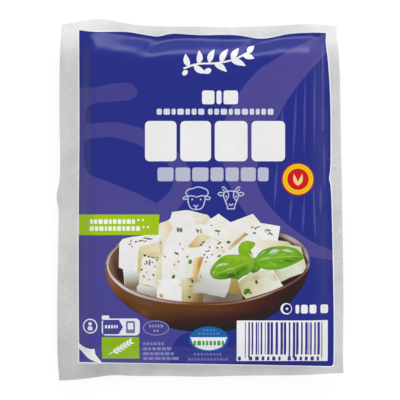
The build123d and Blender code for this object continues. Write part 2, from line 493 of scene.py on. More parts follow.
# Thin-lined heads of a sheep and a goat. The goat's lines on the left are repeated on its right.
heads = {
    "line": 0.42,
    "sheep": [
        [(-4.9, 1.7), (-5.7, 2.7), (-4.8, 4.1), (-2.8, 4.6), (-1.0, 5.2), (1.2, 4.8), (3.0, 3.8),
         (3.2, 2.3), (2.2, 1.5)],
        [(-4.8, 1.5), (-3.2, 1.7), (-1.3, 1.2), (0.5, 1.7), (2.2, 1.5)],
        [(-4.8, 1.4), (-4.7, -1.0), (-3.8, -3.0), (-2.6, -3.7), (-0.3, -3.7), (1.1, -2.7), (1.8, -0.7),
         (2.2, 1.4)],
        [(-4.8, 1.6), (-6.4, 1.1), (-6.8, 0.5), (-4.9, 0.2)],
        [(2.4, 1.6), (4.1, 0.9), (3.5, 0.2), (2.1, 0.4)],
        [(-2.5, -2.0), (-1.6, -2.6), (-0.7, -2.0)],
        [(-1.6, -2.6), (-1.6, -3.6)],
    ],
    "goatMiddle": 12.4,
    "goatLeft": [
        [(3.7, 4.9), (2.8, 5.2), (1.5, 3.5)],
        [(3.4, 4.4), (2.4, 3.2)],
        [(5.3, 2.5), (4.2, 3.1), (2.8, 2.6), (4.0, 1.6), (5.3, 2.5)],
        [(1.5, 3.5), (2.6, 2.9), (3.0, 1.5), (2.4, 0.0), (1.6, -2.2)],
        [(1.2, 3.4), (1.0, 1.5), (2.1, -0.4)],
        [(1.3, -2.3), (1.4, -3.5), (-0.02, -3.5)],
        [(0.9, -1.5), (0.0, -2.2)],
        [(1.5, 3.5), (-0.02, 3.6)],
    ],
    "eyes": [(-3.1, 0.2), (0.3, 0.2), (10.4, 1.4), (14.4, 1.4)],
}
for line in heads["sheep"]:
    ink(stroke(line, heads["line"], step=0.6), palette["thinLine"])
for line in heads["goatLeft"]:
    for side in (-1, 1):
        mirrored = [(heads["goatMiddle"] + side * x, y) for x, y in line]
        ink(stroke(mirrored, heads["line"], step=0.6), palette["thinLine"])
ink([ellipse(x, y, 0.36, 0.36) for x, y in heads["eyes"]], palette["thinLine"])

# A round seal: a scalloped edge, a ring of dots and a plain sprig of two leaves
seal = {"middle": (39.2, 8.3), "radius": 6.5, "scallops": 40, "scallop": 0.16, "ring": 6.1, "core": 4.3,
        "dots": 32}
sealX, sealY = seal["middle"]
turns = np.arange(seal["scallops"] * 4) * 2 * math.pi / (seal["scallops"] * 4)
scalloped = seal["radius"] + seal["scallop"] * np.cos(turns * seal["scallops"])
sealEdge = np.column_stack([sealX + scalloped * np.cos(turns), sealY + scalloped * np.sin(turns)])
ink(sealEdge, palette["sealRed"])
ink(ellipse(sealX, sealY, seal["ring"], seal["ring"]), palette["sealYellow"])
for dot in range(seal["dots"]):
    turn = dot * 2 * math.pi / seal["dots"]
    reach = (seal["ring"] + seal["core"]) / 2
    dotX, dotY = sealX + reach * math.cos(turn), sealY + reach * math.sin(turn)
    ink(ellipse(dotX, dotY, 0.2, 0.2, step=0.4), "#B8702A")
ink(ellipse(sealX, sealY, seal["core"], seal["core"]), palette["sealRed"])
sealLeaves = [almond((sealX, sealY - 2.6), (sealX + side * 1.7, sealY + 2.2), 1.5, side * -0.3)
              for side in (-1, 1)]
ink(sealLeaves, "#F0D68A")

# The bowl of cheese. The rim's outer and inner edges run from the left end round the near side, then back
# behind.
bowl = {
    "rimNear": [(-37.9, -25.8), (-37.25, -28), (-35.2, -31.5), (-32.9, -34), (-29.5, -36.5), (-25, -38.5),
                (-20, -39.9), (-14, -41.2), (-7, -42), (3, -42.3), (12, -41.9), (20, -40.4), (28, -37.9),
                (34, -35.2), (39, -32.2), (42.3, -29.2)],
    "rimFar": [(44, -25.6), (43.5, -21.8), (42.0, -19.0), (39.4, -16.4), (36.4, -14.6), (32.3, -13.3),
               (15, -11), (-10, -11.5), (-31.2, -16.8), (-33.8, -18.9), (-36.5, -21.5)],
    "lipNear": [(-36.4, -25.8), (-35.9, -27.4), (-34.2, -30.4), (-31.4, -33), (-28.2, -35.1), (-24, -37.1),
                (-19, -38.6), (-13, -39.9), (-6, -40.7), (2, -40.9), (11, -40.7), (17.5, -39.7),
                (24.2, -37.8), (28.7, -36.3), (33.1, -34.4), (37.6, -32.1), (41.2, -28.9)],
    "lipFar": [(42.9, -25.4), (42.4, -22.2), (40.9, -19.6), (38.4, -17.2), (35.2, -15.4), (15, -13),
               (-10, -14), (-30, -17.4), (-33.5, -19.8), (-35.6, -22.4)],
    "foot": [(42.6, -31.6), (38.2, -38.6), (31.2, -44.6), (22, -49.5), (12, -52.2), (0, -52.9), (-9.5, -51.8),
             (-16, -49.6), (-24, -46), (-30.8, -41), (-35, -36.1), (-37, -32), (-37.9, -28.6)],
}
rimOuter = rounded(bowl["rimNear"] + bowl["rimFar"])
rimInner = rounded(bowl["lipNear"] + bowl["lipFar"])
bowlWall = cornered(bowl["rimNear"], [(44, -25.6)] + bowl["foot"])
nearRim = cornered(bowl["rimNear"] + [(44, -25.6)], [(42.9, -25.4)] + bowl["lipNear"][::-1])
ink(rimOuter, shaded([(0, "#A08A80"), (0.2, "#7A5238"), (0.8, "#5A3820"), (1, "#5C4438")],
                     (-38, -24), (44, -24)))
ink(rimInner, shaded([(0, "#84685C"), (0.06, "#543420"), (0.5, "#2A1406"), (0.9, "#2A1508"), (1, "#3A2014")],
                     (-36, -24), (43, -24)))
for colour, middle, radii, turn, strength in [
    ("#5E4030", (-33.8, -25.0), (1.6, 4.0), 0.0, 0.8), ("#2A1406", (-31.8, -30.0), (1.5, 4.0), 0.3, 0.85),
    ("#CFC6CE", (36.8, -15.9), (5.6, 1.2), -0.5, 0.95), ("#8C6C64", (38.6, -18.8), (3.6, 0.9), -0.75, 0.8),
    ("#C4BCC4", (42.6, -21.8), (0.6, 3.4), 0.3, 0.95),
]:
    wash(rimOuter, colour, middle, radii, turn, strength)

cheeseHeap = cornered(
    [(-32.3, -17.3)],
    [(-31.0, -15.6), (-26.8, -14.7), (-20, -13.4)],
    [(-16, -9.3), (-12.2, -7.7)],
    [(-11.2, -4.8), (-6.8, -4.2), (-4.2, -4.2)],
    [(2.8, -6.0), (4.3, -7.4)],
    [(7.4, -5.5)],
    [(12.2, -8.9)],
    [(21.2, -5.5)],
    [(24.5, -9.5)],
    [(32.1, -10.5)],
    [(31.1, -16.2)],
    [(34.8, -16.6), (36.3, -18.0)],
    [(40.3, -18.7)],
    [(42.6, -28.0)],
    [(36, -31.0), (31.8, -32.4)],
    [(33.2, -34.3), (31, -36.6), (22, -41.6), (4, -42), (-14, -41), (-26, -37)],
    [(-30.2, -33.6), (-30.9, -27.6)],
    [(-32.5, -26.9)],
)
ink(cheeseHeap, "#EFEEEC", grain=1.0)

# Faces of the cubes from the back of the heap to its front: their corners, then colours between two places
cheeseFaces = [
    # back row, left to right
    ([[(-16.3, -9.6)], [(-12.6, -8.2)], [(-10.9, -10.6)], [(-13.6, -17)], [(-15.2, -21.4)], [(-16.3, -17.4)]],
     [(0, "#EFE9DA"), (0.5, "#EDE2C8"), (1, "#EAD8B0")], (-16.4, -12), (-11.4, -11.4)),
    ([[(-3.0, -6.6)], [(-2.2, -5.6), (2.6, -5.8)], [(4.2, -7.4)], [(2.0, -9.8)], [(-1.0, -9.4)]],
     [(0, "#EAE2CC"), (0.5, "#ECE8DA"), (1, "#E4DCC0")], (-3, -7), (3.4, -8.6)),
    ([[(-5.4, -19.2)], [(-2.6, -16.0), (-0.4, -13.6)], [(2.6, -12.4)], [(4.6, -15.1)], [(1.9, -16.6)],
      [(-0.6, -18.9)]],
     [(0, "#DBB878"), (0.35, "#DCC692"), (0.65, "#E3D8B2"), (1, "#EEEADF")], (-4.4, -18.8), (2.4, -12.6)),
    ([[(7.4, -5.5)], [(12.2, -8.9)], [(18.6, -13.2)], [(12.4, -19)], [(4.8, -15)], [(1.2, -10.6)],
      [(4.3, -7.6)]],
     [(0, "#F2F0EE"), (0.6, "#EFEEE8"), (1, "#EAE5D4")], (6, -6), (12, -18)),
    ([[(12.2, -8.9)], [(21.2, -5.5)], [(24.5, -9.5)], [(22.4, -11.6)], [(18.6, -13.2)]],
     [(0, "#F1EFEE"), (0.7, "#F0EDEA"), (1, "#EBE3CC")], (14, -9), (24, -9)),
    ([[(22.4, -9.3), (25, -9.3)], [(32.1, -10.5)], [(31.1, -16.3)], [(23.5, -16.0)], [(18.8, -13.6)]],
     [(0, "#EFEEEC"), (1, "#F4F3F2")], (20, -13), (31, -12)),
    ([[(23, -15.8)], [(31.1, -16.3)], [(34.8, -16.6), (36.2, -17.6)], [(36.4, -19.6)], [(26, -20.6)],
      [(22.0, -18.4)]],
     [(0, "#EEE9D6"), (0.6, "#E2DCC2"), (1, "#D9CDA2")], (24, -17), (36, -18)),
    ([[(18.3, -12.9)], [(17.0, -13.9), (13.2, -17.2), (11.0, -19.4)], [(12.0, -20.0)],
      [(15.1, -17.4), (17.8, -14.9)], [(19.0, -13.6)]],
     [(0, "#C9B070"), (0.5, "#CFB070"), (1, "#E4D6B2")], (18.4, -13.6), (11.6, -19.6)),
    ([[(36.2, -18.5)], [(40.3, -18.7)], [(42.8, -27.6)], [(42.2, -28.8)], [(36, -31.0), (31.6, -32.6)],
      [(29.6, -28.4)]],
     [(0, "#CFC89C"), (0.3, "#D9DAC4"), (0.7, "#DFE2D2"), (1, "#CBD6B4")], (30, -31.4), (42, -24)),
    # left side of the heap
    ([[(-32.3, -17.3)], [(-31.0, -15.6), (-26.8, -14.7), (-21.8, -14.2)], [(-15.6, -13.6)], [(-15.4, -17.4)],
      [(-18.6, -17.3), (-24.5, -19)], [(-24.3, -36.6)], [(-29.8, -34.8)], [(-30.9, -27.6)], [(-32.5, -26.9)]],
     [(0, "#F2F1F0"), (1, "#ECEBEA")], (-30, -16), (-28, -28)),
    ([[(-30.9, -27.4), (-28, -28.2)], [(-24.3, -28.6)], [(-24.1, -37)], [(-29.8, -34.4)]],
     [(0, "#EDEDEB"), (0.25, "#D6DBD9"), (0.5, "#B9B6A6"), (0.75, "#8E7E66"), (1, "#6E5C48")], (-28, -27.4),
     (-26.8, -36.2)),
    ([[(-24.5, -18.9)], [(-18.6, -17.2), (-15.4, -17.2)], [(-15.2, -23)], [(-17.2, -23.6)], [(-22.2, -22.4)],
      [(-23.2, -23.4)], [(-23.9, -29.4)], [(-25.0, -29.2)]],
     [(0, "#CBC790"), (0.35, "#DCD7AC"), (0.7, "#E4DCBA"), (1, "#E9DDBE")], (-24.6, -25), (-16, -18)),
    ([[(-15.2, -22)], [(-13.2, -18.0)], [(0.4, -19.4)], [(1.4, -22.8)], [(-0.4, -22.9)],
      [(-1.9, -27.4), (-2.7, -31.3)], [(-6.6, -31.5)], [(-7.4, -33)], [(-15, -34)]],
     [(0, "#F2F1F0"), (0.7, "#EFEEEB"), (1, "#E9E6DD")], (-12, -19), (-5, -32)),
    ([[(-2.6, -23.2)], [(1.6, -22.6)], [(0.2, -27)], [(-1.2, -31.6)], [(-3.7, -31.2)]],
     [(0, "#EAE7DC"), (0.35, "#E7D09A"), (0.7, "#D6AE5E"), (1, "#C29440")], (-3.3, -26.6), (0.5, -27.5)),
    ([[(-23.2, -23.2)], [(-17.3, -23.3)], [(-17.7, -34)], [(-24.5, -33.3)]],
     [(0, "#EBEAE7"), (1, "#E8E7E2")], (-21, -23), (-20, -33)),
    ([[(-17.3, -23.4)], [(-15.2, -22.4)], [(-15.1, -34)], [(-17.7, -34)]],
     [(0, "#EAE4C8"), (1, "#DED4AE")], (-16, -23), (-16, -33)),
    # front row, left to right
    ([[(-25.3, -34.6)], [(-23.9, -33.2)], [(-17.2, -34.8)], [(-17.2, -41)], [(-25.2, -38.4)]],
     [(0, "#E6E5D6"), (0.35, "#CDD0C4"), (0.7, "#B9AC9E"), (1, "#A08F82")], (-21, -34), (-21, -39)),
    ([[(-17.1, -31.9)], [(-7.4, -31.7)], [(-7.0, -42)], [(-17.1, -42)]],
     [(0, "#F3F2F1"), (0.7, "#F0EFEE"), (1, "#E6E4DE")], (-12, -32), (-12, -41)),
    ([[(-7.4, -31.7)], [(-1.4, -32)], [(-2.8, -36.4)], [(1.2, -37.4)], [(1.4, -43)], [(-7.0, -43)]],
     [(0, "#DDD8B0"), (0.3, "#CDC092"), (0.6, "#B3A06C"), (1, "#7C6440")], (-7.2, -35), (0.6, -39)),
    ([[(12.0, -31.2)], [(15.8, -31.2)], [(15.1, -33.1)], [(17.2, -37.8)], [(17.6, -43)], [(9.6, -43)],
      [(9.6, -38.6)]],
     [(0, "#B2A35E"), (0.5, "#A28E52"), (1, "#76664E")], (13, -31), (15, -40.6)),
    ([[(1.2, -37.2)], [(9.8, -39)], [(11.4, -36.9), (13, -37.6)], [(16.8, -38.2)], [(17.0, -43)],
      [(1.2, -43)]],
     [(0, "#8A8078"), (0.4, "#6E625A"), (1, "#80756A")], (3, -38), (15, -41)),
    ([[(1.7, -22.8)], [(12.6, -24)], [(12.3, -32)], [(11.3, -36.4)], [(9.8, -39)],
      [(5.3, -38.1), (2, -37.1), (-2.9, -36.8)], [(-0.6, -29.5)]],
     [(0, "#F1F0EE"), (0.35, "#E6E5E2"), (0.6, "#CFD0CB"), (1, "#BEBFBB")], (6, -24), (1.5, -38)),
    ([[(15.1, -33.1)], [(19.4, -29.8), (24, -28.2)], [(28.5, -28.0)], [(30.6, -30.8), (33.1, -34.2)],
      [(32.9, -35.3)], [(26, -37.8), (18.7, -40.6)], [(16.9, -37.8)]],
     [(0, "#B4B27C"), (0.2, "#CBC79C"), (0.5, "#DAD6BC"), (0.8, "#DFE0D0"), (1, "#EAEBE0")], (15.4, -32),
     (30, -34.5)),
]
for runs, stops, start, end in cheeseFaces:
    ink(cornered(*runs), shaded(stops, start, end), grain=1.0)

# Warm light that shines through the curd near its edges, and soft shade in the gaps
for colour, middle, radii, turn, strength in [
    ("#DCCFAC", (0.4, -8.9), (2.4, 0.6), 0.0, 0.7), ("#E3CC96", (-11.8, -11.2), (0.9, 1.4), -0.15, 0.6),
    ("#C9C19A", (-15.7, -17.2), (0.6, 2.4), 0.0, 0.7), ("#DDB474", (-15.3, -20.6), (0.4, 1.6), 0.1, 0.7),
    ("#DDB880", (-19.6, -21.9), (3.4, 0.8), 0.05, 0.7), ("#C4C084", (-24.2, -25.2), (0.6, 3.6), 0.0, 0.6),
    ("#D39C50", (-3.2, -18.2), (0.9, 0.6), 0.6, 0.6), ("#DBAE6A", (3.0, -15.0), (1.3, 0.6), -0.2, 0.55),
    ("#EBDDC0", (-9.4, -26.4), (1.2, 4.6), 0.1, 0.3), ("#DDE2DA", (-4.6, -27.0), (1.6, 4.2), 0.0, 0.5),
    ("#B8782E", (-0.3, -25.6), (0.6, 2.0), -0.2, 0.7), ("#B08C50", (-2.0, -32.2), (2.0, 0.9), 0.0, 0.7),
    ("#E6D8AE", (7.4, -20.0), (2.2, 1.2), 0.3, 0.5), ("#DDB94E", (9.4, -20.6), (0.7, 0.6), 0.0, 0.85),
    ("#E9DFC6", (20.4, -8.6), (1.6, 2.0), 0.3, 0.4), ("#C79658", (14.2, -17.0), (1.4, 0.5), 0.75, 0.7),
    ("#B9AC9A", (2.5, -36.9), (4.5, 0.6), -0.2, 0.4), ("#B9AC76", (30.4, -30.6), (1.4, 1.4), 0.5, 0.7),
    ("#8C7A52", (-6.9, -38.6), (0.4, 2.6), 0.0, 0.4), ("#E4DCC6", (8.6, -9.6), (1.4, 1.0), 0.4, 0.4),
    ("#A8995E", (22.2, -31.2), (1.8, 0.9), 0.3, 0.6), ("#C9B482", (-16.6, -33.6), (0.8, 0.8), 0.0, 0.5),
    ("#D8CCA6", (3.2, -16.8), (1.2, 0.6), 0.7, 0.4), ("#B4B4AE", (9.2, -37.8), (1.0, 0.6), 0.0, 0.5),
    ("#C7C7C2", (1.6, -35.6), (2.6, 1.0), -0.15, 0.5), ("#DCC9A0", (-7.2, -33.4), (0.5, 2.4), 0.0, 0.5),
]:
    wash(cheeseHeap, colour, middle, radii, turn, strength)
for points, width, colour in [
    ([(-23.7, -33.5), (-20.5, -34.3), (-17.4, -34.6)], 0.4, "#B98F54"),
    ([(-5.6, -31.5), (-2.0, -31.5)], 0.4, "#85603A"),
    ([(-0.9, -19.0), (0.6, -17.7), (2.0, -16.7)], 0.4, "#A08758"),
    ([(4.6, -15.1), (7.0, -16.1), (9.6, -17.4)], 0.3, "#C6B184"),
    ([(-2.9, -37.0), (2, -37.4), (5.3, -38.5), (9.8, -39.2)], 0.4, "#84807A"),
    ([(29.0, -28.2), (31.0, -31.2), (33.0, -34.2)], 0.4, "#F2F1EA"),
    ([(-32.4, -27.1), (-30.9, -27.6)], 0.3, "#A58C78"),
]:
    ink(stroke(points, width, taper=True), colour, grain=1.0)
ink(cornered([(17.0, -38.0)], [(18.4, -39.6)], [(19.6, -43)], [(17.0, -43)]), "#33241C")

# Chopped herbs: strewn flecks in dry greens and browns, with a few fresh leaves among them
herbs = {
    "strewn": 14,
    "length": (0.4, 1.5),
    "width": (0.3, 0.6),
    "dry": ("#6E7350", "#5B6B3A", "#4C5A3C", "#77745A", "#4C4A36", "#8A7A56"),
    "places": [(-27.6, -16.4), (-27.1, -18.7), (-28.0, -17.8), (-25.6, -16.8), (-22.1, -25.6), (-18.1, -26.6),
               (-23.3, -27.9), (-21.2, -28.9), (-22.5, -30.6), (-20.3, -31.9), (-19.0, -25.0), (-16.9, -23.1),
               (-15.8, -17.1), (-10.3, -25.9), (-7.8, -18.0), (-5.2, -22.7), (-3.8, -34.6), (-6.9, -19.6),
               (-0.8, -12.4), (0.4, -12.9), (21.0, -11.0), (22.4, -11.3), (23.4, -10.8), (21.8, -13.3),
               (27.0, -12.0), (26.2, -12.4), (27.8, -12.2), (18.6, -13.8), (8.8, -19.0), (3.9, -18.9),
               (2.6, -20.6), (4.8, -21.9), (2.4, -24.8), (22.8, -32.8), (22.4, -33.4), (30.0, -28.6),
               (4.6, -10.2)],
    "large": [(-21.4, -15.3, 1.5, 0.3, -0.1, "#7E8468"), (-20.0, -15.6, 1.2, 0.25, 0.1, "#5E6A48"),
              (-23.6, -16.3, 1.2, 0.3, 0.1, "#7E8468"), (-21.9, -16.5, 0.8, 0.25, 0.4, "#6C7454"),
              (-22.1, -22.2, 0.55, 0.45, 0.0, "#3A3222"), (-20.5, -22.7, 0.5, 0.3, 0.0, "#4E5226"),
              (-18.8, -23.0, 1.3, 0.3, -0.2, "#5F8468"), (-17.3, -24.0, 0.45, 0.35, 0.0, "#33402A"),
              (-21.3, -25.0, 0.3, 0.9, 0.2, "#4A503A"), (-20.2, -25.1, 0.35, 1.2, 0.0, "#80605A"),
              (-18.6, -30.0, 0.4, 0.6, 0.3, "#5C8A66"), (-9.3, -21.4, 1.0, 0.4, -0.5, "#4C4E3C"),
              (-8.6, -24.6, 0.5, 0.35, 0.0, "#8C8646"), (-10.6, -30.7, 0.6, 0.9, -0.5, "#5C6236"),
              (-3.9, -24.7, 1.0, 0.8, 1.2, "#5F962E"), (-5.0, -22.7, 0.35, 0.6, 0.3, "#8A8C3C"),
              (-8.7, -11.9, 0.7, 1.1, 0.0, "#7E8A6C"), (-7.5, -12.0, 0.5, 1.0, 0.0, "#8A5A58"),
              (7.0, -12.4, 1.2, 0.45, -0.15, "#4F9440"), (28.2, -13.4, 1.1, 0.45, -0.6, "#7FA14A"),
              (1.4, -16.9, 0.6, 0.4, 0.7, "#4E4A30"), (0.5, -18.0, 0.4, 0.5, 0.0, "#5A5434"),
              (7.7, -17.3, 1.0, 0.35, 0.5, "#4C6A40"), (11.4, -16.9, 0.8, 0.55, -0.1, "#3E5A34"),
              (6.9, -19.1, 0.5, 0.4, 0.0, "#8A5A4C"), (3.5, -20.3, 0.35, 0.35, 0.0, "#2E302A"),
              (1.7, -21.9, 0.4, 0.4, 0.0, "#3E4C38"), (2.9, -22.9, 0.35, 0.35, 0.0, "#2E302A"),
              (7.7, -22.4, 0.9, 0.45, 0.4, "#74923C"), (-3.1, -32.4, 0.4, 0.8, 0.3, "#4C4228"),
              (-4.2, -38.8, 0.55, 0.5, 0.0, "#2E241C"), (-15.5, -38.3, 0.7, 0.9, 0.6, "#BC9F7A"),
              (18.9, -36.4, 1.4, 1.0, 0.2, "#4E7A2A"), (20.2, -37.2, 0.7, 0.5, 0.0, "#84903C"),
              (18.2, -37.3, 0.8, 0.6, 0.3, "#5C6E2A"), (18.0, -14.0, 0.9, 0.4, 0.6, "#9AA84E"),
              (0.2, -12.0, 0.7, 0.3, 0.7, "#9AA468"), (22.6, -32.8, 0.6, 0.8, 0.4, "#6A5228")],
}
strewn = rng.uniform(-24, 30, herbs["strewn"]), rng.uniform(-36, -9, herbs["strewn"])
for x, y in herbs["places"] + list(zip(*strewn)):
    length, turn = rng.uniform(*herbs["length"]) / 2, rng.uniform(0, math.pi)
    reachX, reachY = length * math.cos(turn), length * math.sin(turn)
    fleck = stroke([(x - reachX, y - reachY), (x, y + 0.12), (x + reachX, y + reachY)],
                   rng.uniform(*herbs["width"]), step=0.5)
    ink(fleck, str(rng.choice(herbs["dry"])))
for x, y, halfLong, halfWide, turn, colour in herbs["large"]:
    ink(ellipse(x, y, halfLong, halfWide, turn, step=0.5), colour)

# Basil on top: each leaf has its shape, its colours from one end to the other, soft patches and thin lines.
basil = [
    {
        "shape": [(15.3, -19.2), (16.5, -17.1), (18.4, -16.3), (20.9, -16.6), (22.2, -17.4), (21.4, -18.9),
                  (20.3, -20.2), (21.0, -22.4), (16.2, -22.4)],
        "stops": [(0, "#8EBA2A"), (1, "#7AAC22")], "start": (17, -16.5), "end": (19, -22),
        "patches": [("#74A41E", (20.6, -17.8), (1.2, 0.8), 0.0, 0.5),
                    ("#6E9E1E", (20.4, -21.2), (0.8, 0.9), 0.0, 0.5),
                    ("#A2C840", (18.2, -18.4), (0.7, 1.6), -0.2, 0.4)],
        "lines": [([(18.2, -17.2), (18.6, -19), (19.4, -21.4)], 0.22, "#A2C652")],
    },
    {
        "shape": [(18.0, -24.2), (21, -22.8), (24, -24.4), (24.2, -27.4), (21.4, -29.2), (18.4, -27.6)],
        "stops": [(0, "#5F9A30"), (1, "#3E7A26")], "start": (21, -23), "end": (21, -29),
        "patches": [("#2C5E18", (20.4, -25.6), (1.2, 0.9), 0.3, 0.8),
                    ("#7CBA3C", (22.6, -27.2), (0.9, 1.3), 0.2, 0.7)],
        "lines": [([(19.4, -21.4), (20.8, -22.3), (21.9, -23.8)], 0.5, "#E4E9C8")],
    },
    {
        "shape": [(4.0, -29.1), (4.9, -26.5), (7.1, -24), (9.6, -22.3), (12.5, -21.8), (16.5, -22),
                  (20, -22.4), (21.8, -24.4), (21.4, -27.0), (19.6, -29.4), (17.2, -30.6), (15.4, -31.8),
                  (12.4, -31.3), (10.4, -31.7), (7.6, -31.8), (5.2, -31.2)],
        "stops": [(0, "#8DB52A"), (0.45, "#7FAC24"), (1, "#5E962C")], "start": (12, -22), "end": (13, -31.5),
        "patches": [("#2F4E12", (12.8, -30.2), (2.2, 0.9), 0.1, 0.95),
                    ("#466E1A", (17.6, -27.6), (2.0, 0.9), 0.5, 0.7),
                    ("#44781E", (9.0, -30.2), (2.0, 0.8), 0.3, 0.7),
                    ("#A2C84A", (15.6, -23.4), (4.0, 0.9), -0.1, 0.6),
                    ("#80B850", (20.2, -26.6), (0.9, 1.6), -0.2, 0.7),
                    ("#55901F", (8.2, -24.6), (2.4, 0.6), 0.7, 0.6),
                    ("#2F5E16", (15.2, -29.2), (1.2, 0.7), 0.8, 0.8),
                    ("#8DB83A", (6.6, -29.2), (1.2, 0.8), 0.6, 0.5)],
        "lines": [([(6.2, -27.3), (7.2, -26.2), (9.2, -25.7), (11.6, -25.6)], 1.0, "#B9D6BC"),
                  ([(5.0, -30.0), (5.6, -28.8), (6.4, -28.1)], 0.5, "#A2C890"),
                  ([(10.2, -28.2), (11.8, -27.6), (14.2, -27.6)], 0.8, "#9CC494"),
                  ([(10.6, -29.4), (11.6, -28.8), (12.6, -28.9)], 0.5, "#86B47C"),
                  ([(4.6, -30.4), (10, -28.4), (16, -26.2), (21.6, -24.4)], 0.35, "#A6C85C"),
                  ([(8.4, -28.9), (8.8, -26.8), (9.6, -25.4)], 0.3, "#6C9E2C"),
                  ([(12.6, -27.4), (12.4, -25.2), (13.4, -22.8)], 0.3, "#6C9E2C"),
                  ([(12.8, -27.6), (14.0, -29.2), (14.4, -31)], 0.3, "#7DAA40"),
                  ([(16.4, -26.2), (16.2, -24.2), (17.2, -22.8)], 0.3, "#6C9E2C")],
    },
    {
        "shape": [(22.0, -24.6), (23.2, -21.7), (25.2, -20.0), (28.2, -18.9), (32, -18.4), (35.6, -18.7),
                  (38.9, -19.7), (41.6, -22.9), (39.6, -24.6), (36, -26.3), (32.2, -27.6), (28, -28),
                  (24.4, -27.2)],
        "stops": [(0, "#74A834"), (0.4, "#78AE2A"), (1, "#62A024")], "start": (31, -18.4), "end": (31, -28),
        "patches": [("#3C6E1C", (36.0, -24.2), (4.6, 0.8), 0.18, 0.85),
                    ("#4A861E", (26.6, -20.4), (3.2, 0.6), 0.5, 0.7),
                    ("#8CC640", (28.6, -26.0), (4.6, 0.9), 0.05, 0.6),
                    ("#50881E", (40.0, -21.8), (1.6, 0.8), -0.4, 0.6),
                    ("#98C65C", (33, -21.8), (5.0, 0.5), 0.05, 0.5)],
        "lines": [([(27.4, -21.4), (29.4, -20.4), (31.9, -20.2)], 1.3, "#C6DCC4"),
                  ([(32.4, -20.1), (34.6, -20.1), (37.6, -20.9)], 1.1, "#BAD6B4"),
                  ([(27.8, -22.0), (29.4, -21.4), (31.6, -21.0)], 0.5, "#A4C89A"),
                  ([(23.0, -24.4), (25.6, -23.4), (28.6, -22.6)], 0.6, "#A4CC90"),
                  ([(24.0, -22.2), (25.2, -21.0), (26.8, -20.2)], 0.5, "#A8CC96"),
                  ([(22.4, -24.4), (31, -22.9), (41.3, -22.5)], 0.35, "#A9D05C"),
                  ([(26.6, -23.7), (28.6, -25.2), (31.6, -26.6)], 0.28, "#9CC857"),
                  ([(30.4, -23.0), (32.6, -24.4), (35.6, -25.4)], 0.28, "#93BE52"),
                  ([(34.2, -22.7), (36.4, -23.6), (38.8, -24.2)], 0.28, "#93BE52"),
                  ([(29.2, -23.2), (31.2, -21.4), (34.0, -20.2)], 0.28, "#5C9424"),
                  ([(33.6, -22.8), (35.6, -21.4), (38.0, -20.8)], 0.28, "#5C9424")],
    },
]
for leaf in basil:
    edge = rounded(leaf["shape"])
    ink(edge, shaded(leaf["stops"], leaf["start"], leaf["end"]), grain=0.5)
    for colour, middle, radii, turn, strength in leaf["patches"]:
        wash(edge, colour, middle, radii, turn, strength)
    for points, width, colour in leaf["lines"]:
        ink(stroke(points, width, taper=True), colour, grain=0.3)

# The bowl's wall and the near side of its rim lie over the cheese.
ink(bowlWall, shaded([(0, "#7E5238"), (0.25, "#6A4528"), (0.5, "#603B12"), (0.75, "#502E0E"), (1, "#3E2308")],
                     (-38, -36), (42, -40)))
for colour, middle, radii, turn, strength in [
    ("#120700", (3, -55.5), (42, 8.5), 0.0, 1.0), ("#2C1606", (-31, -45), (10, 5), -0.7, 0.7),
    ("#9A6A48", (-35.6, -32.2), (1.0, 4.4), 0.55, 0.5), ("#74585A", (-22.6, -45.0), (2.6, 1.0), -0.45, 0.6),
    ("#6E5048", (-22, -40.9), (4.0, 1.0), -0.35, 0.5), ("#201004", (38, -42), (9, 10), -0.6, 0.85),
    ("#6A401A", (2, -43.8), (16, 1.4), 0.0, 0.5), ("#140800", (22, -49), (12, 4.5), 0.3, 0.6),
]:
    wash(bowlWall, colour, middle, radii, turn, strength)
ink(nearRim, shaded([(0, "#84604E"), (0.3, "#7A5238"), (0.5, "#6A3E18"), (0.8, "#5E3A20"), (1, "#6E5048")],
                    (-38, -28), (44, -28)))
for points, width, stops, start, end in [
    ([(-32.2, -18.2), (-34.5, -20.3), (-36.2, -22.9), (-36.9, -25.4), (-36.6, -28), (-35.2, -30.8),
      (-32.6, -33.4), (-29.2, -35.8), (-24.6, -37.9), (-19.6, -39.4), (-13.4, -40.6), (-6, -41.4),
      (0, -41.6)], 1.15,
     [(0, "#C4BABE"), (0.12, "#D8D3D6"), (0.45, "#B6A8A8"), (0.75, "#A08478"), (1, "#8A5E3A")],
     (-37.4, -28), (-2, -28)),
    ([(-2, -41.5), (6, -41.7), (12, -41.3), (19, -40.1), (25, -38.4), (31, -35.9), (36, -33.4),
      (40, -30.6)], 0.7,
     [(0, "#8C613A"), (0.35, "#8A6648"), (0.62, "#AE988E"), (0.85, "#7A5A4A"), (1, "#6A5048")], (-2, -41),
     (40, -31)),
]:
    ink(stroke(points, width, taper=True), shaded(stops, start, end))
wash(nearRim, "#A89EA6", (43.3, -25.8), (0.8, 2.6), turn=0.1, strength=0.8)

# A green slip on the left with two lines of blocks
slipInk = "#F4F6E8"
ink(cornered([(-50.0, -5.8)], [(-16.2, -5.8)], [(-16.6, -14.0)], [(-50.0, -14.1)]), palette["green"])
ink(plainWord(-44, -26, -9.6, -7.7, 10, 3, gap=0.45, radius=0.3), slipInk)
ink(plainWord(-44.2, -24, -12.3, -10.5, 11, 4, gap=0.45, radius=0.3), slipInk)
slipDots = [(-24.6, -8), (-22.8, -8), (-22.6, -10.8), (-20.8, -10.8)]
ink([ellipse(x, y, 0.45, 0.45) for x, y in slipDots], slipInk)

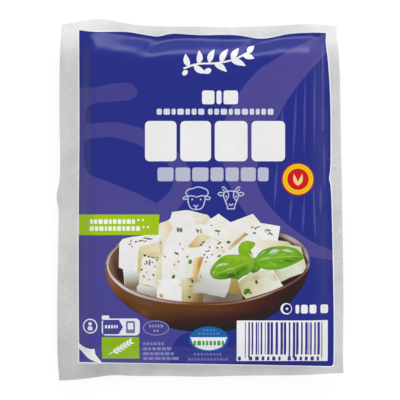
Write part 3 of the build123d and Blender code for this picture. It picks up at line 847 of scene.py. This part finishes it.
# Foot of the panel: a curl in the corner, small labels, a quantity line and a code panel
label = palette["label"]
cornerCurl = cornered([(-49.4, -56.8), (-47, -58.7), (-44.5, -59.6)], [(-42.2, -59.6), (-41.8, -62)],
                      [(-39.4, -65.4), (-41.5, -65.2), (-44.5, -63.8), (-46.8, -61.5)], [(-49.4, -58.8)])
ink(cornerCurl, palette["white"])
ink(ellipse(-44, -50.5, 3.0, 3.0), label)
ink(ellipse(-44, -50.5, 2.5, 2.5), palette["plum"])
ink([ellipse(-44, -49.6, 0.8, 0.8), block(-45.0, -52.2, -43.0, -50.6, 0.5)], label)
ink(block(-39.3, -54.2, -24.1, -47.4, 1.6), label)
ink(block(-39.3, -47.8, -36.3, -46.2, 0.3), label)
arrow = cornered([(-38.8, -47.9)], [(-32.4, -47.9)], [(-30.8, -50.9)], [(-32.6, -53.7)], [(-38.8, -53.7)])
ink(arrow, palette["plum"])
ink(plainWord(-38.0, -32.9, -51.4, -50.0, 5, 5), label)
ink(block(-29.6, -53.3, -26.0, -48.4, 0.5), "#77749F")
ink(block(-28.9, -51.8, -26.7, -49.2, 0.3), label)
ink(ellipse(-17.6, -51.2, 5.2, 3.0), "#8E8CC0")
ink(ellipse(-17.6, -51.2, 4.85, 2.65), "#4A4790")
ink(plainWord(-20.4, -14.8, -51.0, -49.8, 5, 6) + plainWord(-18.6, -16.6, -52.8, -51.8, 2, 7), "#8E8CC0")
for line, right in enumerate((-14.4, -11.6, -10.5, -8.6)):
    top = -56.9 - 2.05 * line
    ink(plainWord(-22.8, right, top - 1.2, top, 6, 8 + line), palette["paleViolet"])
ink(block(-39.3, -63.7, -24.3, -54.8), "#8DB526")
ink(stroke([(-36.6, -61.8), (-32, -59.4), (-27.6, -56.6)], 0.4), "#F2F5E6")
for step in range(6):
    x, y = -34.6 + 1.25 * step, -60.9 + 0.78 * step
    ink([almond((x, y), (x + 0.9, y + 1.9), 0.8), almond((x, y), (x + 2.2, y - 0.5), 0.8)], "#F2F5E6")

ink(ellipse(3.5, -55.6, 7.9, 5.0), "#1463A6")
ink(cornered([(-3.9, -54.9), (-1.8, -58.6), (3.5, -60.1), (8.8, -58.6)], [(10.9, -54.9)]), "#E9EAF1")
ink(plainWord(-2.6, 9.6, -58.2, -56.3, 8, 12, gap=0.5, radius=0.3), "#4E9A46")
ink(plainWord(1.0, 6.0, -52.4, -51.7, 4, 18) + plainWord(-0.8, 7.8, -53.8, -53.1, 6, 19), "#4C86BC")
ink(plainWord(-2.6, 8.6, -62.4, -61.3, 9, 13) + plainWord(-4.8, 11.2, -64.6, -63.4, 13, 14), "#6E6DB0")

ink(ellipse(34.5, -43.5, 2.3, 2.3), palette["white"])
ink(ellipse(34.8, -43.5, 1.7, 1.85), "#2A2466")
ink(ellipse(34.8, -43.5, 0.5, 0.5), palette["white"])
ink(blockRow(-45.4, -41.9, [(38.2, 39.7), (40.4, 43.1), (43.8, 46.6), (48.3, 51.4)], 0.6), palette["white"])

codePanel = {"left": 14.7, "bottom": -64.7, "right": 51.3, "top": -48.2, "barTop": -48.9, "barBottom": -62.0,
             "firstBar": 18.0, "lastBar": 49.2, "module": 0.33, "guards": (0, 1, 12, 13), "endGuards": 1.2,
             "guard": 1.4, "ink": "#34368A", "seed": 21}
ink(block(codePanel["left"], codePanel["bottom"], codePanel["right"], codePanel["top"], 0.3), "#F2F1F4")
barRng = np.random.default_rng(codePanel["seed"])
barLeft, barNumber = codePanel["firstBar"], 0
while barLeft < codePanel["lastBar"]:
    width = codePanel["module"] * barRng.integers(1, 4)
    isGuard = barNumber in codePanel["guards"] or barLeft > codePanel["lastBar"] - codePanel["endGuards"]
    foot = codePanel["barBottom"] - (codePanel["guard"] if isGuard else 0.0)
    ink(block(barLeft, foot, barLeft + width, codePanel["barTop"], step=2.4), codePanel["ink"])
    barLeft += width + codePanel["module"] * barRng.integers(1, 4)
    barNumber += 1
ink(blockRow(-64.5, -62.8, [(15.2, 16.4)], 0.3), codePanel["ink"])
ink(plainWord(19.6, 32.4, -64.5, -62.8, 6, 15, gap=1.1, radius=0.3), codePanel["ink"])
ink(plainWord(35.2, 47.8, -64.5, -62.8, 6, 16, gap=1.1, radius=0.3), codePanel["ink"])

# The back has a plain panel, two bands and rows of blocks.
backPanel = block(-50.5, -66.5, 48.5, 66.5, 1.0)
backBands = [
    [(-40, 60), (-10, 44), (22, 40), (44, 52), (44, 36), (22, 24), (-10, 26), (-44, 44)],
    [(-44, -34), (-12, -24), (20, -30), (44, -50), (42, -60), (20, -44), (-12, -38), (-44, -50)],
]
ink(offsetLoop(backPanel, keylineWidth), palette["keyline"], side="back", inPanel=False)
ink(backPanel, palette["blue"], side="back", inPanel=False)
ink([rounded(band) for band in backBands], palette["violet"], side="back")
backText = {"left": -38, "rights": (36, 30, 34, 20), "tops": (18, 6, -6), "row": 2.6, "height": 1.3,
            "words": 16, "seed": 30}
for part, first in enumerate(backText["tops"]):
    for line, right in enumerate(backText["rights"]):
        top, seed = first - backText["row"] * line, backText["seed"] + line + 4 * part
        row = plainWord(backText["left"], right, top - backText["height"], top, backText["words"], seed)
        ink(row, palette["lilac"], side="back")
print("print layers:", len(printLayers))


# Mesh of the pouch: each film is triangulated in plan, so that every edge of the print is an edge of the mesh

meshing = {
    "front": {"centre": 1.0, "rim": 0.62, "picture": 0.62, "clear": 0.4},
    "back": {"centre": 1.9, "rim": 0.95, "picture": 1.9, "clear": 0.6},
    "rowShare": 0.87,
    "unevenness": 0.12,
    "rimClimb": 0.985,
    "tolerance": 1e-4,
    "leastArea": 1e-7,
    "sharpAngle": 55,
    "edgeInk": 0.8,
}


def insideLoop(points, loop):
    inside = np.zeros(len(points), bool)
    low, high = loop.min(axis=0), loop.max(axis=0)
    near = np.where(np.all((points >= low) & (points <= high), axis=1))[0]
    x, y = points[near, 0][:, None], points[near, 1][:, None]
    a, b = loop, np.roll(loop, -1, axis=0)
    crosses = (a[:, 1] > y) != (b[:, 1] > y)
    run = np.where(b[:, 1] == a[:, 1], 1e-12, b[:, 1] - a[:, 1])
    where = a[:, 0] + (y - a[:, 1]) * (b[:, 0] - a[:, 0]) / run
    inside[near] = np.sum(crosses & (x < where), axis=1) % 2 == 1
    return inside


def lattice(spacing):
    # points in staggered rows over the whole pouch, a little uneven, so that no grain shows in the mesh
    low, high = outline.min(axis=0), outline.max(axis=0)
    columns = np.arange(low[0], high[0], spacing)
    rows = np.arange(low[1], high[1], spacing * meshing["rowShare"])
    x, y = np.meshgrid(columns, rows)
    x = x + (np.arange(len(rows)) % 2)[:, None] * spacing / 2
    points = np.column_stack([x.ravel(), y.ravel()])
    return points + rng.uniform(-meshing["unevenness"], meshing["unevenness"], points.shape) * spacing


def planMesh(side):
    spacing = meshing[side]
    drawn = [layer for layer in printLayers if layer["side"] == side and layer["share"] is None]
    loops = [outline] + [layer["loop"] for layer in drawn]
    lines = np.vstack(loops)
    pairs, first = [], 0
    for loop in loops:
        pairs += [(first + place, first + (place + 1) % len(loop)) for place in range(len(loop))]
        first += len(loop)
    tree = kdtree.KDTree(len(lines))
    for place, (x, y) in enumerate(lines):
        tree.insert((x, y, 0), place)
    tree.balance()

    fill = []
    for zone in ("centre", "rim", "picture"):
        points = lattice(spacing[zone])
        onRim = filmHeights(points)[2] <= meshing["rimClimb"]
        inPicture = np.any([insideLoop(points, loop) for loop in (rimOuter, bowlWall, cheeseHeap)], axis=0)
        zones = {"centre": ~onRim & ~inPicture, "rim": onRim, "picture": ~onRim & inPicture}
        fill.append(points[zones[zone]])
    fill = np.vstack(fill)
    fill = fill[insideLoop(fill, outline)]
    fill = np.array([point for point in fill if tree.find((point[0], point[1], 0))[2] > spacing["clear"]])
    points = [Vector(point) for point in np.vstack([lines, fill])]
    found = geometry.delaunay_2d_cdt(points, pairs, [], 0, meshing["tolerance"], True)
    places = np.array([tuple(vertex) for vertex in found[0]])
    triangles = np.array([face for face in found[2] if len(face) == 3])
    corners = places[triangles]
    area = np.cross(corners[:, 1] - corners[:, 0], corners[:, 2] - corners[:, 0])
    triangles[area < 0] = triangles[area < 0][:, ::-1]
    keep = insideLoop(places[triangles].mean(axis=1), outline) & (np.abs(area) > meshing["leastArea"])
    triangles = triangles[keep]
    rimVertices = np.zeros(len(outline), int)
    for vertex, origins in enumerate(found[3]):
        for origin in origins:
            if origin < len(outline):
                rimVertices[origin] = vertex
    used = np.unique(triangles)
    renumber = np.full(len(places), -1)
    renumber[used] = np.arange(len(used))
    return places[used], renumber[triangles], renumber[rimVertices]


skinGlow = 0.014  # the clear skin adds about this much light to a colour, so inks are that much deeper
deepestInk = 0.002
bareFilm = "#E4E4E3"


def inkColours(side, places, triangles):
    # the last colour laid over each triangle, at each of its corners, and whether it is printed at all
    corners = places[triangles][..., :2]
    middles = corners.mean(axis=1)
    colours = np.tile(srgb(bareFilm), (len(triangles), 3, 1))
    grain = np.zeros(len(triangles))
    printed = np.zeros(len(triangles), bool)
    panel = insideLoop(middles, panelLoop if side == "front" else backPanel)
    for layer in printLayers:
        if layer["side"] != side:
            continue
        inside = insideLoop(middles, layer["loop"])
        if layer["inPanel"]:
            inside &= panel
        if layer["share"] is not None:
            share = layer["share"](corners[inside])[..., None]
            colours[inside] = colours[inside] * (1 - share) + srgb(layer["colour"]) * share
            continue
        if isinstance(layer["colour"], str):
            colours[inside] = srgb(layer["colour"])
        else:
            colours[inside] = layer["colour"](corners[inside])
        grain[inside] = layer["grain"]
        printed |= inside
    return np.maximum(linear(colours) - skinGlow, deepestInk), grain, printed


# What the film is made of, and how each finish looks

def addNode(tree, kind, inputs=None, **settings):
    made = tree.nodes.new(kind)
    for name, value in settings.items():
        setattr(made, name, value)
    for name, value in (inputs or {}).items():
        if isinstance(value, bpy.types.NodeSocket):
            tree.links.new(value, made.inputs[name])
        else:
            made.inputs[name].default_value = value
    return made


def newMaterial(name):
    material = bpy.data.materials.new(name)
    material.use_nodes = True
    tree = material.node_tree
    shader = tree.nodes["Principled BSDF"]
    where = addNode(tree, "ShaderNodeTexCoord").outputs["Object"]
    return material, tree, shader, where


def noise(tree, where, size, detail, rough=0.5):
    # cloudy noise with features of about this many millimetres
    inputs = {"Vector": where, "Scale": 1 / (size * mm), "Detail": detail, "Roughness": rough}
    return addNode(tree, "ShaderNodeTexNoise", inputs).outputs["Fac"]


def carried(tree, value, before, after, **settings):
    # a value carried over from one range to another
    ends = {"From Min": before[0], "From Max": before[1], "To Min": after[0], "To Max": after[1]}
    return addNode(tree, "ShaderNodeMapRange", {"Value": value, **ends}, **settings).outputs["Result"]


def reckoned(tree, operation, first, second):
    return addNode(tree, "ShaderNodeMath", {0: first, 1: second}, operation=operation).outputs["Value"]


def lightened(tree, colour, level):
    scaled = addNode(tree, "ShaderNodeVectorMath", {0: colour, "Scale": level}, operation="SCALE")
    return scaled.outputs["Vector"]


def finishFilm(tree, shader, where, finish):
    # the small unevenness of a film's skin, and its gloss
    bump = addNode(tree, "ShaderNodeBump", {
        "Height": noise(tree, where, *finish["uneven"]),
        "Strength": finish["bump"],
        "Distance": finish["depth"] * mm,
    })
    tree.links.new(bump.outputs["Normal"], shader.inputs["Normal"])
    shader.inputs["Roughness"].default_value = finish["roughness"]
    shader.inputs["IOR"].default_value = finish["ior"]
    shader.inputs["Specular IOR Level"].default_value = finish["specular"]


# Reverse-printed PA/PE film: the ink lies under a clear, glossy skin, so colours are full and highlights are
# soft. Each noise has its size in millimetres, its detail and its roughness.
printedFilm = {
    "crumb": (2.2, 5.0, 0.7),
    "crumbFrom": (0.3, 0.7),
    "crumbTo": (0.94, 1.03),
    "lay": (14, 2.0),
    "layTo": (0.95, 1.05),
    "uneven": (3.5, 3.0),
    "bump": 0.25,
    "depth": 0.15,
    "roughness": 0.28,
    "ior": 1.5,
    "specular": 0.22,
}


def printedFilmMaterial():
    material, tree, shader, where = newMaterial("reversePrintedFilm")
    inks = addNode(tree, "ShaderNodeAttribute", attribute_name="ink").outputs
    crumb = noise(tree, where, *printedFilm["crumb"])
    crumb = carried(tree, crumb, printedFilm["crumbFrom"], printedFilm["crumbTo"])
    grained = addNode(tree, "ShaderNodeMix", {"A": 1.0, "B": crumb, "Factor": inks["Alpha"]},
                      data_type="FLOAT")
    lay = carried(tree, noise(tree, where, *printedFilm["lay"]), (0, 1), printedFilm["layTo"])
    level = reckoned(tree, "MULTIPLY", grained.outputs["Result"], lay)
    tree.links.new(lightened(tree, inks["Color"], level), shader.inputs["Base Color"])
    finishFilm(tree, shader, where, printedFilm)
    return material


# Heat-sealed PA/PE film: two white skins pressed together, milky and a little uneven, with a soft sheen.
# Painted light makes its colour whiter up to the top edge, and painted shade makes it duller towards the
# lower left corner. Each of these has where it starts and ends, in millimetres, and the light before and
# after it.
weldedFilm = {
    "cloud": (9, 4.0, 0.6),
    "milk": ((0.3, "#CACAC9"), (0.7, "#D9D9D8")),
    "paintedTopLight": ((57, 66), (1.0, 1.26)),
    "paintedCornerShade": ((156, 176), (1.0, 0.84)),
    "towardsCorner": (-1.0, -2.0, 0.0),  # not of unit length, so the places along it are further on too
    "uneven": (2.4, 4.0, 0.65),
    "bump": 0.3,
    "depth": 0.2,
    "roughness": 0.4,
    "ior": 1.5,
    "specular": 0.3,
}


def weldedFilmMaterial():
    material, tree, shader, where = newMaterial("heatSealedFilm")
    milk = addNode(tree, "ShaderNodeValToRGB", {"Fac": noise(tree, where, *weldedFilm["cloud"])})
    for stop, (place, colour) in zip(milk.color_ramp.elements, weldedFilm["milk"]):
        stop.position = place
        stop.color = (*linear(srgb(colour)), 1)
    up = addNode(tree, "ShaderNodeSeparateXYZ", {"Vector": where}).outputs["Y"]
    corner = addNode(tree, "ShaderNodeVectorMath", {0: where, 1: weldedFilm["towardsCorner"]},
                     operation="DOT_PRODUCT").outputs["Value"]
    lights = []
    # painted light towards the top edge and painted shade towards the lower left corner, multiplied into the
    # colour
    for value, name in ((up, "paintedTopLight"), (corner, "paintedCornerShade")):
        (first, last), light = weldedFilm[name]
        lights.append(carried(tree, value, (first * mm, last * mm), light, interpolation_type="SMOOTHSTEP"))
    level = reckoned(tree, "MULTIPLY", *lights)
    tree.links.new(lightened(tree, milk.outputs["Color"], level), shader.inputs["Base Color"])
    finishFilm(tree, shader, where, weldedFilm)
    return material


# Cut edge of the two films: bright, because light runs inside the film and comes out there.
cutEdge = {"ripple": (4, 2.0), "shades": (0.74, 0.9), "roughness": 0.5}


def cutEdgeMaterial():
    material, tree, shader, where = newMaterial("cutFilmEdge")
    shade = carried(tree, noise(tree, where, *cutEdge["ripple"]), (0, 1), cutEdge["shades"])
    tree.links.new(shade, shader.inputs["Base Color"])
    shader.inputs["Roughness"].default_value = cutEdge["roughness"]
    return material


filmMaterials = [printedFilmMaterial(), weldedFilmMaterial(), cutEdgeMaterial()]

# The bands of knurling, each from the edge of the pouch inwards, and how far past the slab they run
knurlBands = {"left": (2.2, 6.0), "right": (0.6, 3.6), "pastSlab": 6.0}
weldPastSlab = 10


def knurlShare(points):
    # 1 on the two bands where the sealing jaws leave their pattern
    x, y = points[:, 0] + slabMiddle[0], points[:, 1] + slabMiddle[1]
    halfSlab = pouch["slab"][1] / 2
    left, right, bottom, top = pouchEdges(x * 0, y / (halfSlab + weldPastSlab))
    onBand = np.zeros(len(points), bool)
    for inwards, (near, far) in ((x - left, knurlBands["left"]), (right - x, knurlBands["right"])):
        onBand |= (inwards > near) & (inwards < far)
    return (onBand & (np.abs(y) < halfSlab + knurlBands["pastSlab"])).astype(float)


# Shares of the square that colours are baked into: the front, the back and a strip for the cut edge
bakeSquare = {"margin": 0.005, "frontWidth": 0.76, "backLeft": 0.77, "backWidth": 0.2, "edge": (0.98, 0.995)}


def bakePlaces(plan, faces, frontCount, edgeCount):
    # where each corner of each face lies in the square
    low, high = outline.min(axis=0), outline.max(axis=0)
    flat = bakeSquare["margin"] + (1 - 2 * bakeSquare["margin"]) * (plan - low) / (high - low)
    flat[:frontCount, 0] *= bakeSquare["frontWidth"]
    flat[frontCount:, 0] = bakeSquare["backLeft"] + bakeSquare["backWidth"] * flat[frontCount:, 0]
    uv = flat[faces]
    count = len(outline)
    up, (left, right) = np.arange(count) / count, bakeSquare["edge"]
    near, far = np.full(count, left), np.full(count, right)
    nearLow, farLow = np.column_stack([near, up]), np.column_stack([far, up])
    nearHigh, farHigh = np.column_stack([near, up + 1 / count]), np.column_stack([far, up + 1 / count])
    lower = np.stack([nearLow, farLow, farHigh], axis=1)
    upper = np.stack([nearLow, farHigh, nearHigh], axis=1)
    uv[-edgeCount:] = np.vstack([lower, upper])
    return uv


def makeFilm():
    frontPlaces, frontTriangles, frontRim = planMesh("front")
    backPlaces, backTriangles, backRim = planMesh("back")
    print("film triangles:", len(frontTriangles), len(backTriangles))
    front, back = filmHeights(frontPlaces)[0], filmHeights(backPlaces)[1]
    vertices = np.vstack([np.column_stack([frontPlaces, front]), np.column_stack([backPlaces, back])]) * mm
    shift = len(frontPlaces)
    after, backFrom = np.roll(frontRim, -1), backRim + shift
    backAfter = np.roll(backFrom, -1)
    lower, upper = (frontRim, backFrom, backAfter), (frontRim, backAfter, after)
    edge = np.vstack([np.column_stack(lower), np.column_stack(upper)])
    faces = np.vstack([frontTriangles, backTriangles[:, ::-1] + shift, edge])

    mesh = bpy.data.meshes.new("pouchFilm")
    mesh.from_pydata(vertices.tolist(), [], faces.tolist())
    film = bpy.data.objects.new("pouchFilm", mesh)
    bpy.context.scene.collection.objects.link(film)
    for material in filmMaterials:
        mesh.materials.append(material)

    frontInk, frontGrain, frontPrinted = inkColours("front", frontPlaces, frontTriangles)
    backInk, backGrain, backPrinted = inkColours("back", backPlaces, backTriangles)
    backInk = backInk[:, ::-1]
    inks = np.vstack([frontInk, backInk, np.full((len(edge), 3, 3), meshing["edgeInk"])])
    grains = np.concatenate([frontGrain, backGrain, np.zeros(len(edge))])
    colours = np.concatenate([inks, np.repeat(grains, 3).reshape(-1, 3, 1)], axis=2)
    attribute = mesh.color_attributes.new("ink", "FLOAT_COLOR", "CORNER")
    attribute.data.foreach_set("color", colours.astype(np.float32).ravel())
    slots = np.concatenate([np.where(frontPrinted, 0, 1), np.where(backPrinted, 0, 1), np.full(len(edge), 2)])
    mesh.polygons.foreach_set("material_index", slots.astype(np.int32))

    knurl = np.concatenate([knurlShare(frontPlaces), knurlShare(backPlaces)])
    mesh.attributes.new("knurl", "FLOAT", "POINT").data.foreach_set("value", knurl.astype(np.float32))

    uv = bakePlaces(vertices[:, :2] / mm, faces, shift, len(edge))
    mesh.uv_layers.new(name="OFBake").data.foreach_set("uv", uv.astype(np.float32).ravel())
    mesh.shade_smooth()
    mesh.set_sharp_from_angle(angle=math.radians(meshing["sharpAngle"]))
    mesh.validate()
    return film


film = makeFilm()

# Knurl pressed into the welds by the sealing jaws: small studs in a diamond lattice, on both sides
knurl = {"Pitch": 1.2 * mm, "Stud Width": 0.82 * mm, "Stud Height": 0.16 * mm, "Sunk": 0.05 * mm}
knurlLattice = {"side": 0.19, "reach": 0.05}  # metres, enough to cover the pouch when the lattice is turned


def makeKnurl(film):
    tree = bpy.data.node_groups.new("weldKnurlTree", "GeometryNodeTree")
    tree.interface.new_socket("Geometry", in_out="OUTPUT", socket_type="NodeSocketGeometry")
    kinds = {name: "NodeSocketFloat" for name in knurl}
    kinds.update({"Film": "NodeSocketObject", "Finish": "NodeSocketMaterial"})
    sockets = {name: tree.interface.new_socket(name, in_out="INPUT", socket_type=kind)
               for name, kind in kinds.items()}
    given = addNode(tree, "NodeGroupInput").outputs
    side, reach = knurlLattice["side"], knurlLattice["reach"]
    steps = reckoned(tree, "DIVIDE", side, reckoned(tree, "DIVIDE", given["Pitch"], math.sqrt(2)))
    grid = addNode(tree, "GeometryNodeMeshGrid",
                   {"Size X": side, "Size Y": side, "Vertices X": steps, "Vertices Y": steps})
    turned = addNode(tree, "GeometryNodeTransform",
                     {"Geometry": grid.outputs["Mesh"], "Rotation": (0, 0, math.pi / 4)})
    filmMesh = addNode(tree, "GeometryNodeObjectInfo", {"Object": given["Film"]}).outputs["Geometry"]
    onBand = addNode(tree, "GeometryNodeInputNamedAttribute", {"Name": "knurl"}, data_type="FLOAT")
    place = addNode(tree, "GeometryNodeInputPosition").outputs[0]
    stud = addNode(tree, "GeometryNodeMeshCone", {
        "Vertices": 4,
        "Radius Top": 0.0,
        "Radius Bottom": reckoned(tree, "DIVIDE", given["Stud Width"], 2.0),
        "Depth": reckoned(tree, "ADD", given["Stud Height"], given["Sunk"]),
    })
    down = addNode(tree, "ShaderNodeCombineXYZ", {"Z": reckoned(tree, "MULTIPLY", given["Sunk"], -1.0)})
    studSunk = addNode(tree, "GeometryNodeTransform",
                       {"Geometry": stud.outputs["Mesh"], "Translation": down.outputs[0]})
    joined = addNode(tree, "GeometryNodeJoinGeometry")
    for facing in (1, -1):
        above = addNode(tree, "ShaderNodeVectorMath", {0: place, 1: (0, 0, reach * facing)}, operation="ADD")
        ray = addNode(tree, "GeometryNodeRaycast", {
            "Target Geometry": filmMesh,
            "Attribute": onBand.outputs["Attribute"],
            "Source Position": above.outputs[0],
            "Ray Direction": (0, 0, -facing),
            "Ray Length": 2 * reach,
        }, data_type="FLOAT").outputs
        moved = addNode(tree, "GeometryNodeSetPosition",
                        {"Geometry": turned.outputs[0], "Position": ray["Hit Position"]})
        kept = addNode(tree, "FunctionNodeCompare", {"A": ray["Attribute"], "B": 0.5},
                       data_type="FLOAT", operation="GREATER_THAN")
        turn = addNode(tree, "FunctionNodeAlignRotationToVector", {"Vector": ray["Hit Normal"]}, axis="Z")
        spread = addNode(tree, "GeometryNodeInstanceOnPoints", {
            "Points": moved.outputs[0],
            "Selection": kept.outputs[0],
            "Instance": studSunk.outputs[0],
            "Rotation": turn.outputs[0],
        })
        tree.links.new(spread.outputs[0], joined.inputs[0])
    real = addNode(tree, "GeometryNodeRealizeInstances", {"Geometry": joined.outputs[0]})
    finish = addNode(tree, "GeometryNodeSetMaterial",
                     {"Geometry": real.outputs[0], "Material": given["Finish"]})
    addNode(tree, "NodeGroupOutput", {"Geometry": finish.outputs[0]})

    carrier = bpy.data.objects.new("knurlCarrier", bpy.data.meshes.new("knurlCarrier"))
    bpy.context.scene.collection.objects.link(carrier)
    modifier = carrier.modifiers.new("knurl", "NODES")
    modifier.node_group = tree
    for name, value in {**knurl, "Film": film, "Finish": filmMaterials[1]}.items():
        modifier[sockets[name].identifier] = value
    evaluated = carrier.evaluated_get(bpy.context.evaluated_depsgraph_get())
    mesh = bpy.data.meshes.new_from_object(evaluated)
    carrier.modifiers.clear()
    bpy.data.objects.remove(carrier)
    mesh.name = "weldKnurl"
    studs = bpy.data.objects.new("weldKnurl", mesh)
    bpy.context.scene.collection.objects.link(studs)
    print("knurl triangles:", sum(len(face.vertices) - 2 for face in mesh.polygons))
    return studs


weldKnurl = makeKnurl(film)
for piece in (film, weldKnurl):
    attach(piece, "root")
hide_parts("feta_pouch")
print("pouch made")

# A plain pale floor, soft lamps and a camera that looks straight down
studio = {
    "floorSide": 3.0,
    "floorPlain": 0.8,
    "floorMatt": 0.16,
    "floorGlow": 0.88,
    "ambient": 0.365,
    "lamps": [
        {"name": "topSoftbox", "place": (0.10, 1.0, 0.62), "size": (1.0, 0.22), "power": 9.0, "for": "shade"},
        {"name": "rightSoftbox", "place": (0.95, 0.25, 0.7), "size": (0.25, 0.7), "power": 2.5,
         "for": "shade"},
        {"name": "footFill", "place": (-0.2, -1.0, 0.5), "size": (1.0, 0.5), "power": 6.4, "for": "shade"},
        {"name": "topSheen", "place": (-0.12, 1.0, 0.36), "size": (0.7, 0.4), "power": 6.0, "for": "sheen"},
        {"name": "rightSheen", "place": (1.0, 0.15, 0.42), "size": (0.3, 1.2), "power": 0.6, "for": "sheen"},
        {"name": "footSheen", "place": (-0.3, -1.0, 0.40), "size": (1.2, 0.4), "power": 1.5, "for": "sheen"},
    ],
    "cameraHeight": 1.2,
    "viewWidth": 0.16,
    "viewDepth": 10,
}


def paleForCamera(tree, plain, shown):
    # shown where the camera looks, also in or through a gloss, and plain for all other light
    path = addNode(tree, "ShaderNodeLightPath").outputs
    seen = reckoned(tree, "MAXIMUM", path["Is Camera Ray"], path["Is Glossy Ray"])
    seen = reckoned(tree, "MAXIMUM", seen, path["Is Transmission Ray"])
    return addNode(tree, "ShaderNodeMixShader", {0: seen, 1: plain, 2: shown}).outputs[0]


def grey(level):
    return level, level, level, 1


def makeStudio():
    side = studio["floorSide"] / 2
    mesh = bpy.data.meshes.new("floor")
    corners = [(-side, -side, 0), (side, -side, 0), (side, side, 0), (-side, side, 0)]
    mesh.from_pydata(corners, [], [(0, 1, 2, 3)])
    floor = bpy.data.objects.new("floor", mesh)
    bpy.context.scene.collection.objects.link(floor)
    material = bpy.data.materials.new("paleFloor")
    material.use_nodes = True
    tree = material.node_tree
    tree.nodes.clear()
    plain = addNode(tree, "ShaderNodeBsdfDiffuse", {"Color": grey(studio["floorPlain"])}).outputs[0]
    matt = addNode(tree, "ShaderNodeBsdfDiffuse", {"Color": grey(studio["floorMatt"])}).outputs[0]
    glow = addNode(tree, "ShaderNodeEmission", {"Color": grey(1), "Strength": studio["floorGlow"]}).outputs[0]
    shown = addNode(tree, "ShaderNodeAddShader", {0: matt, 1: glow}).outputs[0]
    addNode(tree, "ShaderNodeOutputMaterial", {"Surface": paleForCamera(tree, plain, shown)})
    mesh.materials.append(material)

    world = bpy.data.worlds.new("studio")
    bpy.context.scene.world = world
    world.use_nodes = True
    tree = world.node_tree
    tree.nodes.clear()
    plain = addNode(tree, "ShaderNodeBackground",
                    {"Color": grey(1), "Strength": studio["ambient"]}).outputs[0]
    shown = addNode(tree, "ShaderNodeBackground", {"Color": grey(1), "Strength": 1.0}).outputs[0]
    addNode(tree, "ShaderNodeOutputWorld", {"Surface": paleForCamera(tree, plain, shown)})

    for lamp in studio["lamps"]:
        light = bpy.data.lights.new(lamp["name"], "AREA")
        light.shape = "RECTANGLE"
        light.size, light.size_y = lamp["size"]
        light.energy = lamp["power"]
        placed = bpy.data.objects.new(lamp["name"], light)
        placed.location = lamp["place"]
        placed.rotation_euler = (-Vector(lamp["place"])).to_track_quat("-Z", "Y").to_euler()
        placed.visible_diffuse = lamp["for"] == "shade"
        placed.visible_glossy = lamp["for"] == "sheen"
        bpy.context.scene.collection.objects.link(placed)

    camera = bpy.data.cameras.new("camera")
    camera.lens = camera.sensor_width * studio["cameraHeight"] / studio["viewWidth"]
    camera.clip_end = studio["viewDepth"]
    placed = bpy.data.objects.new("camera", camera)
    placed.location = (0, 0, studio["cameraHeight"] + pouch["slab"][2] * mm)
    bpy.context.scene.collection.objects.link(placed)
    bpy.context.scene.camera = placed
    bpy.context.scene.view_settings.view_transform = "Standard"
    print("studio made")


makeStudio()
